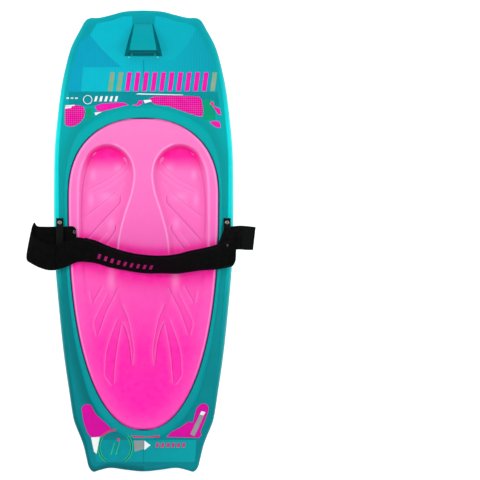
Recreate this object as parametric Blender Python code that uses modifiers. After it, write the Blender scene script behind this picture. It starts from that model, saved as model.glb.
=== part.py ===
"""A kneeboard: a moulded shell round a foam core, a foam knee pad, and a thigh strap on two side brackets.

+Y runs to the nose, +X to the rider's right and +Z up. The board lies on its flat bottom with its middle at
the origin. Lengths are in metres and angles in degrees.
"""

import math

import bmesh
import bpy
from mathutils import Vector

# Board
LENGTH = 1.270
THICKNESS = 0.070  # bottom to deck, amidships
END_THICKNESS = 0.030
THIN_FROM = 0.22  # the board thins from here to its ends
FLAT_HALF_LENGTH = 0.15  # the bottom is flat to here, then curves up
NOSE_ROCKER = 0.080
TAIL_ROCKER = 0.060
ROCKER_POWER = 2.2
CHINE = 0.13  # the bottom is flat across to here, then rises to the rail
CHINE_RISE = 0.006
RAIL_SHARE = 0.55  # height of the widest line, as a share of the thickness
RAIL_TOP, RAIL_BOTTOM = 0.011, 0.030  # how far in each rounding of the rail runs
SKIN = 0.004
WALL_REACH = 0.008  # the inside of the shell stays under everything this near it
GAP = 0.0004  # between solids that touch
LONG_SPAN = 0.06  # a span of the outline longer than this is halved
SPINE_SHARE = 0.42  # each ray from the outline ends on the centre line, at this share of its own y

# Half of the board's outline, from the middle of the nose to the middle of the tail: x, y
BOARD_OUTLINE = (
    (0.0, 0.6350), (0.050, 0.6325), (0.085, 0.6240), (0.120, 0.6157), (0.146, 0.6147),
    (0.1605, 0.6060), (0.1730, 0.5850), (0.1980, 0.5380), (0.2135, 0.4870), (0.2275, 0.4210),
    (0.2380, 0.3400), (0.2460, 0.2500), (0.2480, 0.1300), (0.2468, 0.0200), (0.2425, -0.0890),
    (0.2235, -0.2870), (0.2050, -0.4190), (0.1945, -0.4850), (0.1860, -0.5120), (0.1745, -0.5390),
    (0.1650, -0.5650), (0.1565, -0.6000), (0.1500, -0.6230), (0.1380, -0.6350), (0.1220, -0.6310),
    (0.0900, -0.6245), (0.0450, -0.6300), (0.0, -0.6340),
)

# Knee pad and the bed that it lies in: an egg of two half superellipses that share the widest line
PAD_HALF_WIDTH = 0.209
PAD_NOSE, PAD_WIDEST, PAD_TAIL = 0.340, 0.120, -0.521
PAD_POWER_X, PAD_POWER_Y = 2.2, 2.4
PAD_EDGE = 0.004  # top of the pad over the deck, at its edge
PAD_CROWN = 0.010
PAD_THICKNESS = 0.012
PAD_SIDE_GAP = 0.0012
RIM_WIDTH, RIM_HEIGHT = 0.030, 0.004
RIM_MOST_SHARE = 0.28  # of the way from the bed to the rail
WELL_DEPTHS = ((0.27, 0.024), (0.16, 0.021), (0.0, 0.011), (-0.2, 0.006), (-0.42, 0.003))  # y, depth
WELL_WALL = 0.022
BED_ROWS = (1.0, 0.83, 0.66, 0.50, 0.35, 0.21, 0.08, 0.0)  # rows of the bed, from its middle out to its edge

# Outline of the knee well on the right, from its front end round by the centre line: x, y
WELL_OUTLINE = (
    (0.1000, 0.2700), (0.0745, 0.2650), (0.0500, 0.2490), (0.0325, 0.2240), (0.0255, 0.1970),
    (0.0250, 0.1700), (0.0325, 0.1300), (0.0470, 0.0860), (0.0610, 0.0360), (0.0695, -0.0200),
    (0.0700, -0.0900), (0.0580, -0.1600), (0.0370, -0.2350), (0.0240, -0.3000), (0.0280, -0.3650),
    (0.0600, -0.4150), (0.1000, -0.3850), (0.1350, -0.3000), (0.1590, -0.1900), (0.1740, -0.0800),
    (0.1790, 0.0300), (0.1780, 0.1300), (0.1735, 0.1870), (0.1635, 0.2250), (0.1475, 0.2500),
    (0.1250, 0.2650),
)

# Tow hook, front to back: y at its base, y at its top, half width at its base, half width at its top, height
# over the deck
HOOK_SECTIONS = (
    (0.603, 0.600, 0.029, 0.024, 0.001), (0.590, 0.588, 0.0335, 0.0265, 0.009),
    (0.564, 0.565, 0.0430, 0.030, 0.021), (0.536, 0.542, 0.0515, 0.0345, 0.030),
    (0.5085, 0.525, 0.059, 0.037, 0.032),
)
HOOK_FOOT = 0.003  # how far the hook's base lies under the deck
NOTCH_HALF_WIDTH, NOTCH_FRONT, NOTCH_BACK = 0.035, 0.538, 0.480
NOTCH_LOW, NOTCH_HIGH = 0.003, 0.023  # over the deck at the notch's middle

# Fins under the board: the line of the crest, x, y
FRONT_FIN = ((0.128, 0.580), (0.138, 0.530), (0.139, 0.470), (0.134, 0.395))
REAR_FIN = ((0.135, -0.330), (0.150, -0.400), (0.163, -0.455), (0.158, -0.520), (0.136, -0.595))
FIN_HALF_WIDTH, FIN_HEIGHT = 0.015, 0.011

# Side brackets and their screws
BRACKET_X = 0.2306
BRACKET_HALF_LENGTH, BRACKET_WIDTH, BRACKET_THICKNESS = 0.064, 0.020, 0.0035
SLOT_HALF_LENGTH, SLOT_HEIGHT = 0.041, 0.008
SCREW_Y = 0.0515
SCREW_HEAD, SCREW_DOME, SCREW_SHANK, SCREW_LENGTH = 0.0062, 0.0032, 0.0024, 0.016
INSERT_RADIUS, INSERT_DEPTH = 0.0045, 0.018
PLUG_RADIUS, PLUG_Y = 0.012, -0.05

# Thigh strap. The route of the middle of the webbing: x, y, z, and how far its front edge is tipped up
WEBBING, PADDING = 0.0022, 0.0045
STRAP_HALF_WIDTH = 0.038
STRAP_ROUTE = (
    (-0.2450, -0.0400, 0.0885, 0), (-0.2250, -0.0380, 0.0880, 3), (-0.2000, -0.0330, 0.0925, 12),
    (-0.1725, -0.0310, 0.1010, 24), (-0.1300, -0.0340, 0.1105, 37), (-0.0950, -0.0400, 0.1175, 43),
    (-0.0500, -0.0530, 0.1270, 48), (0.0070, -0.0640, 0.1350, 51), (0.0475, -0.0680, 0.1380, 53),
    (0.0880, -0.0670, 0.1370, 50), (0.1400, -0.0610, 0.1310, 44), (0.1900, -0.0500, 0.1170, 34),
    (0.2150, -0.0400, 0.1030, 22), (0.2350, -0.0320, 0.0935, 12), (0.2500, -0.0290, 0.0905, 6),
    (0.2610, -0.0280, 0.0895, 4),
)
SWING_FROM, SWING_TO = -0.130, 0.190  # the stretch that swings as one
SWING_GAP, PADDING_SWING_GAP = 0.0020, 0.0045  # clear of it on either side
LAYER_GAP = 0.0013  # between the webbing and its padding, which bend and twist together
PADDING_ENDS = (-0.160, 0.205)
RIVET_X, RIVET_OFFSET = 0.2307, 0.0237
LOOP_REACH = 0.3145  # how far the left loop and the right tail stand out
FLAP_HINGE_X, FLAP_Z, FLAP_CLEARANCE = 0.266, 0.0745, 0.0016
SLOT_X = 0.2605  # the right end of the webbing, past its bar

# The webbing's left end, as x, y, z and half width: outside the bar, then back through the slot to its tab
LOOP_OUTSIDE = (-0.272, -0.030, 0.0905, 0.038)
LOOP_RADIUS, LOOP_TURN_Z, LOOP_TURN_Y = 0.0085, 0.0835, (-0.022, -0.008)
LOOP_BACK = (
    (-0.275, -0.002, 0.0740, 0.038), (-0.243, 0.000, 0.0745, 0.038), (-0.222, 0.001, 0.0750, 0.038),
    (-0.208, 0.002, 0.0782, 0.038), (-0.192, 0.003, 0.0795, 0.038), (-0.184, 0.003, 0.0798, 0.035),
    (-0.181, 0.003, 0.0799, 0.030),
)
EYELET_PLACE = (-0.189, 0.026, 0.0812)

# The anchor on the right: over the bar, round it, and out through the slot to the flap
TAIL_HALF_WIDTH = 0.033
ANCHOR_OVER = ((0.246, -0.004, 0.0850), (0.226, -0.001, 0.0850))
ANCHOR_RADIUS, ANCHOR_TURN_X, ANCHOR_TURN_Z, ANCHOR_TURN_Y = 0.0046, 0.2165, 0.0802, (0.0, 0.004)
ANCHOR_OUT = ((0.222, 0.0055, 0.0750), (0.243, 0.006, FLAP_Z), (FLAP_HINGE_X - FLAP_CLEARANCE, 0.006, FLAP_Z))
FLAP_Y = 0.006
PATCH_THICKNESS, PATCH_SIDE_MARGIN, PATCH_END_MARGINS = 0.0012, 0.004, (0.005, 0.004)
RIVET_PROFILE = ((0.0, 0.0013), (0.0022, 0.0011), (0.0036, 0.0004), (0.0038, 0.0), (0.0, 0.0))
EYELET_PROFILE = ((0.0048, 0.0014), (0.0048, 0.0), (0.0024, 0.0), (0.0024, 0.0014), (0.0048, 0.0014))


# Curves and surfaces


def smoothstep(low, high, value):
    share = min(1.0, max(0.0, (value - low) / (high - low)))
    return share * share * (3 - 2 * share)


def through(points, steps, before=None, after=None):
    """Points on a Catmull-Rom curve through the given ones, with this many steps to a span."""
    points = [Vector(p) for p in points]
    before = Vector(before) if before else 2 * points[0] - points[1]
    after = Vector(after) if after else 2 * points[-1] - points[-2]
    padded = [before, *points, after]
    curve = []
    for a, b, c, d in zip(padded, padded[1:], padded[2:], padded[3:]):
        for step in range(steps):
            t = step / steps
            curve.append(0.5 * (2 * b + (c - a) * t + (2 * a - 5 * b + 4 * c - d) * t**2
                                + (3 * b - a - 3 * c + d) * t**3))
    return [*curve, points[-1]]


def half_outline():
    """The outline's own points, with one more in the middle of each long span."""
    nose, tail = BOARD_OUTLINE[1], BOARD_OUTLINE[-2]
    fine = through(BOARD_OUTLINE, 2, (-nose[0], nose[1]), (-tail[0], tail[1]))
    return [point for index, point in enumerate(fine)
            if index % 2 == 0 or (fine[index + 1] - fine[index - 1]).length > LONG_SPAN]


def rocker(y):
    share = max(0.0, abs(y) - FLAT_HALF_LENGTH) / (LENGTH / 2 - FLAT_HALF_LENGTH)
    return (NOSE_ROCKER if y > 0 else TAIL_ROCKER) * share**ROCKER_POWER


def thickness(y):
    return THICKNESS - (THICKNESS - END_THICKNESS) * smoothstep(THIN_FROM, LENGTH / 2, abs(y))


def deck_z(x, y):
    return rocker(y) + thickness(y)


def bottom_z(x, y):
    return rocker(y) + CHINE_RISE * smoothstep(CHINE, 0.22, abs(x))


def egg(x, y):
    """1 on the pad's edge, less inside."""
    reach = PAD_NOSE - PAD_WIDEST if y > PAD_WIDEST else PAD_WIDEST - PAD_TAIL
    return (abs(x) / PAD_HALF_WIDTH) ** PAD_POWER_X + (abs(y - PAD_WIDEST) / reach) ** PAD_POWER_Y


WELL = through(WELL_OUTLINE + WELL_OUTLINE[:1], 2, WELL_OUTLINE[-1], WELL_OUTLINE[1])


def well_depth(x, y):
    """How far the pad's top is let down at this point for a knee and shin."""
    point, inside, nearest = Vector((abs(x), y)), False, 1.0
    for a, b in zip(WELL, WELL[1:]):
        side = b - a
        share = min(1.0, max(0.0, (point - a).dot(side) / side.length_squared))
        nearest = min(nearest, (a + side * share - point).length)
        if (a.y > y) != (b.y > y) and point.x < a.x + side.x * (y - a.y) / side.y:
            inside = not inside
    if not inside:
        return 0.0
    for (y0, depth0), (y1, depth1) in zip(WELL_DEPTHS, WELL_DEPTHS[1:]):
        if y >= y1:
            break
    depth = depth1 + (depth0 - depth1) * min(1.0, max(0.0, (y - y1) / (y0 - y1)))
    return depth * smoothstep(0.0, WELL_WALL, nearest)


def pad_top_z(x, y):
    return deck_z(x, y) + PAD_EDGE + PAD_CROWN * max(0.0, 1 - egg(x, y)) - well_depth(x, y)


def bed_z(x, y):
    return pad_top_z(x, y) - PAD_THICKNESS


# Rays across the board, and the surfaces that their rows make


class Ray:
    """A line on the plan from a point of the outline in to the centre line, crossing the edge of the bed."""

    def __init__(self, start):
        self.start = start
        self.end = Vector((0.0, start.y * SPINE_SHARE))
        self.length = (self.end - start).length
        self.direction = (self.end - start) / self.length
        outside, within = 0.0, self.length
        for _ in range(40):
            middle = (outside + within) / 2
            if egg(*self.at(middle)) > 1:
                outside = middle
            else:
                within = middle
        self.bed = within

    def at(self, distance):
        return self.start + self.direction * distance

    def point(self, distance, height):
        """The point this far along the ray, at the height that a function of x and y gives."""
        x, y = self.at(distance)
        if distance >= self.length:
            x = 0.0
        return x, y, height(x, y)


def rail_arc(ray, reach, edge_height, from_z, lift=0.0, inset=0.0, steps=3):
    """The quarter ellipse from the deck or the bottom out to the outline."""
    rows = []
    for step in range(1, steps + 1):
        angle = math.pi / 2 * step / steps
        distance = inset + reach * (1 - math.sin(angle))
        x, y = ray.at(distance)
        low = edge_height(x, y)
        rows.append((x, y, low + (from_z(x, y) + lift - low) * math.cos(angle)))
    return rows


def rail_z(x, y):
    return rocker(y) + RAIL_SHARE * thickness(y)


def rim_foot(ray):
    """How far along the ray the rim's outer foot is."""
    return ray.bed - min(RIM_WIDTH, RIM_MOST_SHARE * ray.bed)


def shell_rows(ray):
    """The outer surface along a ray: from the middle of the bed over the rail to the middle of the bottom."""
    across = ray.length - ray.bed
    foot = rim_foot(ray)
    rim = ray.bed - foot
    rows = [ray.point(ray.bed + across * share, bed_z) for share in BED_ROWS]
    for distance, height in ((0.0015, 0.5), (0.0035, 1.0), (0.7 * rim, 1.0), (rim, 0.0)):
        rows.append(ray.point(ray.bed - distance, lambda x, y: deck_z(x, y) + RIM_HEIGHT * height))
    rows += [ray.point(foot + (RAIL_TOP - foot) * share, deck_z) for share in (0.5, 1.0)]
    rows += rail_arc(ray, RAIL_TOP, rail_z, deck_z)
    rows += reversed(rail_arc(ray, RAIL_BOTTOM, rail_z, bottom_z)[:-1])
    for share in (0.0, 0.33, 0.66, 1.0):
        rows.append(ray.point(RAIL_BOTTOM + (ray.length - RAIL_BOTTOM) * share, bottom_z))
    return rows


def inner_rows(ray, skin):
    """The same, this far under the outer surface, and without its small features."""
    across = ray.length - ray.bed

    def under_bed(x, y):
        steps = (-WALL_REACH, 0, WALL_REACH)
        return min(bed_z(x + dx, y + dy) for dx in steps for dy in steps) - skin

    def under_deck(x, y):
        return deck_z(x, y) - skin

    def over_bottom(x, y):
        return bottom_z(x, y) + skin

    rows = [ray.point(ray.bed + across * share, under_bed) for share in BED_ROWS[:-1]]
    foot = rim_foot(ray)
    for share, height in ((0.25, under_bed), (0.65, under_deck)):
        rows.append(ray.point(ray.bed + (foot - ray.bed) * share, height))
    rows += [ray.point(foot + (RAIL_TOP - foot) * share, under_deck) for share in (0.0, 0.5)]
    rows += rail_arc(ray, RAIL_TOP, rail_z, deck_z, -skin, skin)
    rows += reversed(rail_arc(ray, RAIL_BOTTOM - skin, rail_z, bottom_z, skin, skin)[:-1])
    for share in (0.0, 0.33, 0.66, 1.0):
        rows.append(ray.point(RAIL_BOTTOM + (ray.length - RAIL_BOTTOM) * share, over_bottom))
    return rows


def pad_rows(ray):
    across = ray.length - ray.bed
    edge = ray.bed + PAD_SIDE_GAP
    rows = [ray.point(ray.bed + across * share, pad_top_z) for share in BED_ROWS[:-1]]
    for distance, drop in ((0.0018, 0.0012), (0.0, 0.0045)):
        rows.append(ray.point(edge + distance, lambda x, y: pad_top_z(x, y) - drop))
    rows.append(ray.point(edge, lambda x, y: bed_z(x, y) + GAP))
    for share in BED_ROWS[-2::-1]:
        rows.append(ray.point(ray.bed + across * share, lambda x, y: bed_z(x, y) + GAP))
    return rows[::-1]


# Objects


def new_object(name, mesh, group):
    made = bpy.data.objects.new(name, mesh)
    group.objects.link(made)
    return made


def mesh_of(name, build):
    """A new mesh, filled by a function that's given its bmesh."""
    mesh = bpy.data.meshes.new(name)
    work = bmesh.new()
    build(work)
    bmesh.ops.recalc_face_normals(work, faces=work.faces)
    work.to_mesh(mesh)
    work.free()
    return mesh


def grid(work, rows):
    """Triangles between each row of points and the next, cut the same way on every surface, so that two
    surfaces a small gap apart stay apart."""
    made = [[work.verts.new(point) for point in row] for row in rows]
    for row, after in zip(made, made[1:]):
        for a, b, c, d in zip(row, row[1:], after[1:], after):
            work.faces.new((a, b, c))
            work.faces.new((a, c, d))
    return made


def mirrored(name, rows, group):
    """A closed surface from its right half, which is open at the centre plane."""

    def build(work):
        grid(work, rows)
        bmesh.ops.remove_doubles(work, verts=work.verts, dist=1e-7)
        in_plane = [face for face in work.faces if all(abs(vert.co.x) < 1e-7 for vert in face.verts)]
        bmesh.ops.delete(work, geom=in_plane, context="FACES")

    made = new_object(name, mesh_of(name, build), group)
    mirror = made.modifiers.new("mirror", "MIRROR")
    mirror.merge_threshold = 1e-6
    return made


def loft(name, sections, group):
    """A closed solid through sections of equal length, each a closed ring of points."""

    def build(work):
        made = grid(work, [[*section, section[0]] for section in sections])
        bmesh.ops.remove_doubles(work, verts=work.verts, dist=1e-7)
        for ring in (made[0], made[-1]):
            work.faces.new([vert for vert in ring if vert.is_valid])

    return new_object(name, mesh_of(name, build), group)


def strip(name, stations, thickness, group):
    """A band of webbing or padding through stations of (middle, half width vector)."""

    def build(work):
        grid(work, [(middle - half, middle + half) for middle, half in stations])

    made = new_object(name, mesh_of(name, build), group)
    solid = made.modifiers.new("thickness", "SOLIDIFY")
    solid.thickness, solid.offset, solid.use_even_offset = thickness, 0.0, True
    return made


def turned(name, profile, group, steps=16):
    """A solid turned from a profile of radius and height that runs down its outer side."""

    def build(work):
        verts = [work.verts.new((radius, 0.0, z)) for radius, z in profile]
        for a, b in zip(verts, verts[1:]):
            work.edges.new((a, b))

    made = new_object(name, mesh_of(name, build), group)
    screw = made.modifiers.new("turn", "SCREW")
    screw.steps = screw.render_steps = steps
    screw.use_merge_vertices, screw.merge_threshold, screw.use_smooth_shade = True, 1e-6, True
    return made


def cylinder(name, radius, low, high, place, group, segments=16):
    def build(work):
        bmesh.ops.create_cone(work, cap_ends=True, segments=segments, radius1=radius, radius2=radius,
                              depth=high - low)
        bmesh.ops.translate(work, verts=work.verts, vec=(0, 0, (low + high) / 2))

    made = new_object(name, mesh_of(name, build), group)
    made.location = place
    return made


def box(name, low, high, group):
    def build(work):
        bmesh.ops.create_cube(work, size=1.0)
        bmesh.ops.scale(work, verts=work.verts, vec=Vector(high) - Vector(low))
        bmesh.ops.translate(work, verts=work.verts, vec=(Vector(low) + Vector(high)) / 2)

    return new_object(name, mesh_of(name, build), group)


def boolean(target, cutter, operation="DIFFERENCE"):
    modifier = target.modifiers.new(f"{operation.lower()} {cutter.name}", "BOOLEAN")
    modifier.operation, modifier.object = operation, cutter


def paint(made, colour, roughness, metallic=0.0):
    material = bpy.data.materials.new(made.name)
    material.use_nodes = True
    shader = material.node_tree.nodes["Principled BSDF"]
    shader.inputs["Base Color"].default_value = (*colour, 1.0)
    shader.inputs["Roughness"].default_value = roughness
    shader.inputs["Metallic"].default_value = metallic
    made.data.materials.clear()
    made.data.materials.append(material)


TEAL, PINK, CREAM, BLACK = (0.0, 0.30, 0.34), (0.95, 0.08, 0.42), (0.80, 0.72, 0.52), (0.012, 0.012, 0.013)
STEEL, BRASS = (0.62, 0.62, 0.60), (0.60, 0.45, 0.18)
SIDES = (("left", -1), ("right", 1))
ENDS = (("front", 1), ("rear", -1))


# The board


def hook_section(section):
    base_y, top_y, base_half, top_half, height = section
    base, top = deck_z(0, base_y) - HOOK_FOOT, deck_z(0, top_y) + height
    low = [(-base_half, base_y, base), (base_half, base_y, base)]
    return [*low, (top_half, top_y, top), (-top_half, top_y, top)]


def fin_sections(crest, side):
    """Arched sections along a fin, which swells from nothing and runs out again."""
    line = through(crest, 2)
    arch = [(math.cos(angle), math.sin(angle)) for angle in (math.pi / 4 * step for step in range(5))]
    sections = []
    for index, (x, y) in enumerate(line):
        size = 0.12 + 0.88 * math.sin(math.pi * (index + 0.5) / len(line))
        z = bottom_z(x, y)
        ring = [(x * side + FIN_HALF_WIDTH * across * size, y, z - FIN_HEIGHT * down * size)
                for across, down in arch]
        sections.append([*ring, (x * side, y, z + SKIN / 2)])
    return sections


def screw_places():
    for side, x in SIDES:
        for end, y in ENDS:
            yield f"{side}_{end}", Vector((x * BRACKET_X, y * SCREW_Y, THICKNESS))


def make_board(parts, cutters):
    rays = [Ray(point) for point in half_outline()]
    shell = mirrored("hull_shell", [shell_rows(ray) for ray in rays], parts)
    core = mirrored("foam_core", [inner_rows(ray, SKIN + GAP) for ray in rays], parts)
    boolean(shell, loft("hook", [hook_section(section) for section in HOOK_SECTIONS], cutters), "UNION")
    for side, x in SIDES:
        for end, crest in (("front", FRONT_FIN), ("rear", REAR_FIN)):
            boolean(shell, loft(f"{side}_{end}_fin", fin_sections(crest, x), cutters), "UNION")
    notch_z = deck_z(0, (NOTCH_FRONT + NOTCH_BACK) / 2)
    notch = box("notch", (-NOTCH_HALF_WIDTH, NOTCH_BACK, notch_z + NOTCH_LOW),
                (NOTCH_HALF_WIDTH, NOTCH_FRONT, notch_z + NOTCH_HIGH), cutters)
    boolean(shell, notch)
    boolean(shell, mirrored("cavity", [inner_rows(ray, SKIN) for ray in rays], cutters))
    bed = bed_z(0, PLUG_Y)
    port = cylinder("fill_port", PLUG_RADIUS + GAP, bed - 2 * SKIN, bed + SKIN, (0, PLUG_Y, 0), cutters, 24)
    boolean(shell, port)
    for name, place in screw_places():
        pocket = cylinder(f"{name}_pocket", INSERT_RADIUS + GAP, -INSERT_DEPTH - GAP, 0.002, place, cutters)
        boolean(shell, pocket)
        boolean(core, pocket)
    paint(shell, TEAL, 0.35)
    paint(core, CREAM, 0.9)
    plug = cylinder("fill_plug", PLUG_RADIUS, bed - 0.0035, bed - 0.0010, (0, PLUG_Y, 0), parts, 24)
    paint(plug, BLACK, 0.5)
    pad = mirrored("knee_pad", [pad_rows(ray) for ray in rays], parts)
    paint(pad, PINK, 0.7)


# The brackets


def bracket_profile():
    """The bar from the side, from its front foot over the slot to its rear foot: y, z over the deck."""
    foot, low, high = BRACKET_THICKNESS, SLOT_HEIGHT, SLOT_HEIGHT + BRACKET_THICKNESS
    half = [(BRACKET_HALF_LENGTH, 0), (BRACKET_HALF_LENGTH, foot), (SLOT_HALF_LENGTH + 0.0045, foot),
            (SLOT_HALF_LENGTH + 0.0005, high)]
    under = [(SLOT_HALF_LENGTH - 0.0005, low), (SLOT_HALF_LENGTH, 0)]
    return [*half, *[(-y, z) for y, z in reversed(half)], *[(-y, z) for y, z in reversed(under)], *under]


def make_bracket(side, x, parts, cutters):
    curve = bpy.data.curves.new("bar", "CURVE")
    curve.dimensions, curve.fill_mode, curve.extrude = "2D", "BOTH", BRACKET_WIDTH / 2
    spline = curve.splines.new("POLY")
    outline = bracket_profile()
    spline.points.add(len(outline) - 1)
    for point, (y, z) in zip(spline.points, outline):
        point.co = (y, z, 0, 1)
    spline.use_cyclic_u = True
    bar = new_object("bar", curve, parts)
    bar.rotation_euler = (math.pi / 2, 0, math.pi / 2)
    bar.location = (x * BRACKET_X, 0, THICKNESS + GAP)
    bpy.context.view_layer.update()
    mesh = bpy.data.meshes.new_from_object(bar.evaluated_get(bpy.context.evaluated_depsgraph_get()))
    work = bmesh.new()
    work.from_mesh(mesh)
    bmesh.ops.remove_doubles(work, verts=work.verts, dist=1e-6)
    bmesh.ops.recalc_face_normals(work, faces=work.faces)
    work.to_mesh(mesh)
    work.free()
    made = new_object(f"{side}_bracket", mesh, parts)
    made.matrix_world = bar.matrix_world
    bpy.data.objects.remove(bar)
    for end, y in ENDS:
        place = (x * BRACKET_X, y * SCREW_Y, THICKNESS)
        hole = cylinder(f"{side}_{end}_hole", SCREW_SHANK + GAP, -0.002, 0.008, place, cutters)
        boolean(made, hole)
    paint(made, BLACK, 0.4)


def make_screws(parts):
    seat = GAP + BRACKET_THICKNESS + GAP
    dome = [(SCREW_HEAD * math.sin(angle), seat + SCREW_DOME * math.cos(angle))
            for angle in (0, math.pi / 8, math.pi / 4, 3 * math.pi / 8, math.pi / 2)]
    shank = [(SCREW_SHANK, seat), (SCREW_SHANK, seat - SCREW_LENGTH), (0, seat - SCREW_LENGTH - SCREW_SHANK)]
    bore, floor = SCREW_SHANK + GAP, -INSERT_DEPTH + 0.0015
    cup = [(INSERT_RADIUS, -GAP), (INSERT_RADIUS, -INSERT_DEPTH), (0, -INSERT_DEPTH)]
    inside = [(0, floor), (bore, floor), (bore, -GAP), (INSERT_RADIUS, -GAP)]
    for name, place in screw_places():
        screw = turned(f"{name}_screw", dome + shank, parts)
        insert = turned(f"{name}_insert", inside[:-1] + cup, parts)
        screw.location = insert.location = place
        paint(screw, STEEL, 0.25, 1.0)
        paint(insert, BRASS, 0.4, 1.0)


# The strap


def at(fine, x):
    """The point of a fine curve at this x."""
    for a, b in zip(fine, fine[1:]):
        if a[0] <= x <= b[0]:
            return a.lerp(b, (x - a[0]) / (b[0] - a[0]))
    raise ValueError(f"the strap has no point at x = {x}")


def frame_of(before, point, after):
    """The strap's unit vectors to its front edge and out of its face, at a point of its route."""
    angle = math.radians(point[3])
    across = Vector((0, math.cos(angle), math.sin(angle)))
    return across, (Vector(after[:3]) - Vector(before[:3])).cross(across).normalized()


def route(start, stop, side=0.0):
    """Stations along the strap's route between two places, moved sideways to its face by this much."""
    fine = through(STRAP_ROUTE, 6)
    picked = [at(fine, start), *[p for p in fine[::3] if start + 0.004 < p[0] < stop - 0.004], at(fine, stop)]
    stations = []
    for before, point, after in zip([picked[0], *picked], picked, [*picked[1:], picked[-1]]):
        across, up = frame_of(before, point, after)
        stations.append((Vector(point[:3]) + up * side, across * STRAP_HALF_WIDTH))
    return stations


def flat(x, y, z, half_width):
    return Vector((x, y, z)), Vector((0, half_width, 0))


def bend(x, z, radius, y_span, half_width, steps):
    """Stations round a half turn of webbing on the side away from +X, from above to below, shifting in y."""
    stations = []
    for step in range(steps + 1):
        share = step / steps
        angle = math.pi * share
        y = y_span[0] + (y_span[1] - y_span[0]) * share
        stations.append(flat(x - radius * math.sin(angle), y, z + radius * math.cos(angle), half_width))
    return stations


def cloth(name, stations, thick, parts, roughness=0.8):
    paint(strip(name, stations, thick, parts), BLACK, roughness)


def make_strap(parts):
    under = -(WEBBING + PADDING) / 2 - LAYER_GAP
    cloth("strap_webbing", route(SWING_FROM, SWING_TO), WEBBING, parts)
    for name, start, stop in (("strap_padding", SWING_FROM, SWING_TO),
                              ("left_padding_end", PADDING_ENDS[0], SWING_FROM - PADDING_SWING_GAP),
                              ("right_padding_end", SWING_TO + PADDING_SWING_GAP, PADDING_ENDS[1])):
        cloth(name, route(start, stop, under), PADDING, parts)

    # Left: over the bar, out to a slack loop, back through the slot to a short tab
    turn_x = LOOP_RADIUS + WEBBING / 2 - LOOP_REACH
    loop = route(STRAP_ROUTE[0][0], SWING_FROM - SWING_GAP)[::-1] + [flat(*LOOP_OUTSIDE)]
    loop += bend(turn_x, LOOP_TURN_Z, LOOP_RADIUS, LOOP_TURN_Y, STRAP_HALF_WIDTH, 6)
    loop += [flat(*station) for station in LOOP_BACK]
    cloth("left_strap_loop", loop[::-1], WEBBING, parts)

    # Right: the end of the webbing over the bar, and an anchor loop round the bar whose tail stands out
    cloth("right_strap_end", route(SWING_TO + SWING_GAP, SLOT_X), WEBBING, parts)
    anchor = [flat(*place, TAIL_HALF_WIDTH) for place in ANCHOR_OVER]
    anchor += bend(ANCHOR_TURN_X, ANCHOR_TURN_Z, ANCHOR_RADIUS, ANCHOR_TURN_Y, TAIL_HALF_WIDTH, 5)
    anchor += [flat(*place, TAIL_HALF_WIDTH) for place in ANCHOR_OUT]
    cloth("right_anchor_loop", anchor, WEBBING, parts)
    flap_from = FLAP_HINGE_X + FLAP_CLEARANCE
    flap = [flat(x, FLAP_Y, FLAP_Z, TAIL_HALF_WIDTH) for x in (flap_from, LOOP_REACH)]
    cloth("lock_flap", flap, WEBBING, parts)
    patch_z = FLAP_Z + (WEBBING + PATCH_THICKNESS) / 2 + GAP
    patch = [flat(x, FLAP_Y, patch_z, TAIL_HALF_WIDTH - PATCH_SIDE_MARGIN)
             for x in (FLAP_HINGE_X + PATCH_END_MARGINS[0], LOOP_REACH - PATCH_END_MARGINS[1])]
    cloth("lock_flap_patch", patch, PATCH_THICKNESS, parts, 0.95)

    # A rivet head on the strap's right end, and a metal eyelet on the tab
    fine = through(STRAP_ROUTE, 6)
    point = at(fine, RIVET_X)
    across, up = frame_of(point, point, at(fine, RIVET_X + BRACKET_THICKNESS))
    rivet = turned("strap_rivet", RIVET_PROFILE, parts, 12)
    rivet.rotation_euler = up.to_track_quat("Z", "Y").to_euler()
    rivet.location = Vector(point[:3]) + across * RIVET_OFFSET + up * (WEBBING / 2 + 2 * GAP)
    eyelet = turned("tab_eyelet", EYELET_PROFILE, parts, 12)
    eyelet.location = EYELET_PLACE
    for metal in (rivet, eyelet):
        paint(metal, STEEL, 0.3, 1.0)


def main():
    for old in list(bpy.data.objects):
        bpy.data.objects.remove(old)
    parts, cutters = bpy.data.collections.new("kneeboard"), bpy.data.collections.new("cutters")
    for group in (parts, cutters):
        bpy.context.scene.collection.children.link(group)
    make_board(parts, cutters)
    for side, x in SIDES:
        make_bracket(side, x, parts, cutters)
    make_screws(parts)
    make_strap(parts)
    for cutter in cutters.objects:
        cutter.hide_render, cutter.display_type = True, "WIRE"


main()
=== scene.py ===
"""The looks of the kneeboard: its moulded shell and prints, the foam pad, the strap and its hardware.

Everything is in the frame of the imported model: +Y to the nose, +X to the rider's right, +Z up. Lengths are in
metres, apart from tables and outlines of points, which are in millimetres until mm() turns them into metres.
"""

import math

import bmesh
import bpy
import numpy as np
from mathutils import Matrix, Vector
from mathutils.bvhtree import BVHTree


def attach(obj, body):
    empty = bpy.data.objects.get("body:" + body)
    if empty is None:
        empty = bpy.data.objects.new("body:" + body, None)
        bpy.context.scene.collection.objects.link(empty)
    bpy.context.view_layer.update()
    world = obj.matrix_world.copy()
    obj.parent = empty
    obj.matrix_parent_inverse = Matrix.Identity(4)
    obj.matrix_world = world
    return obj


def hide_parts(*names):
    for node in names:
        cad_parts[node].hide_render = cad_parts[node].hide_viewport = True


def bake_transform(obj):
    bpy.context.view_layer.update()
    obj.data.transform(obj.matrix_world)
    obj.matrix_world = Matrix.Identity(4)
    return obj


MM = 0.001


def mm(*rows):
    """Rows of millimetres, as an array in metres."""
    return np.array(rows, float) * MM


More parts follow.
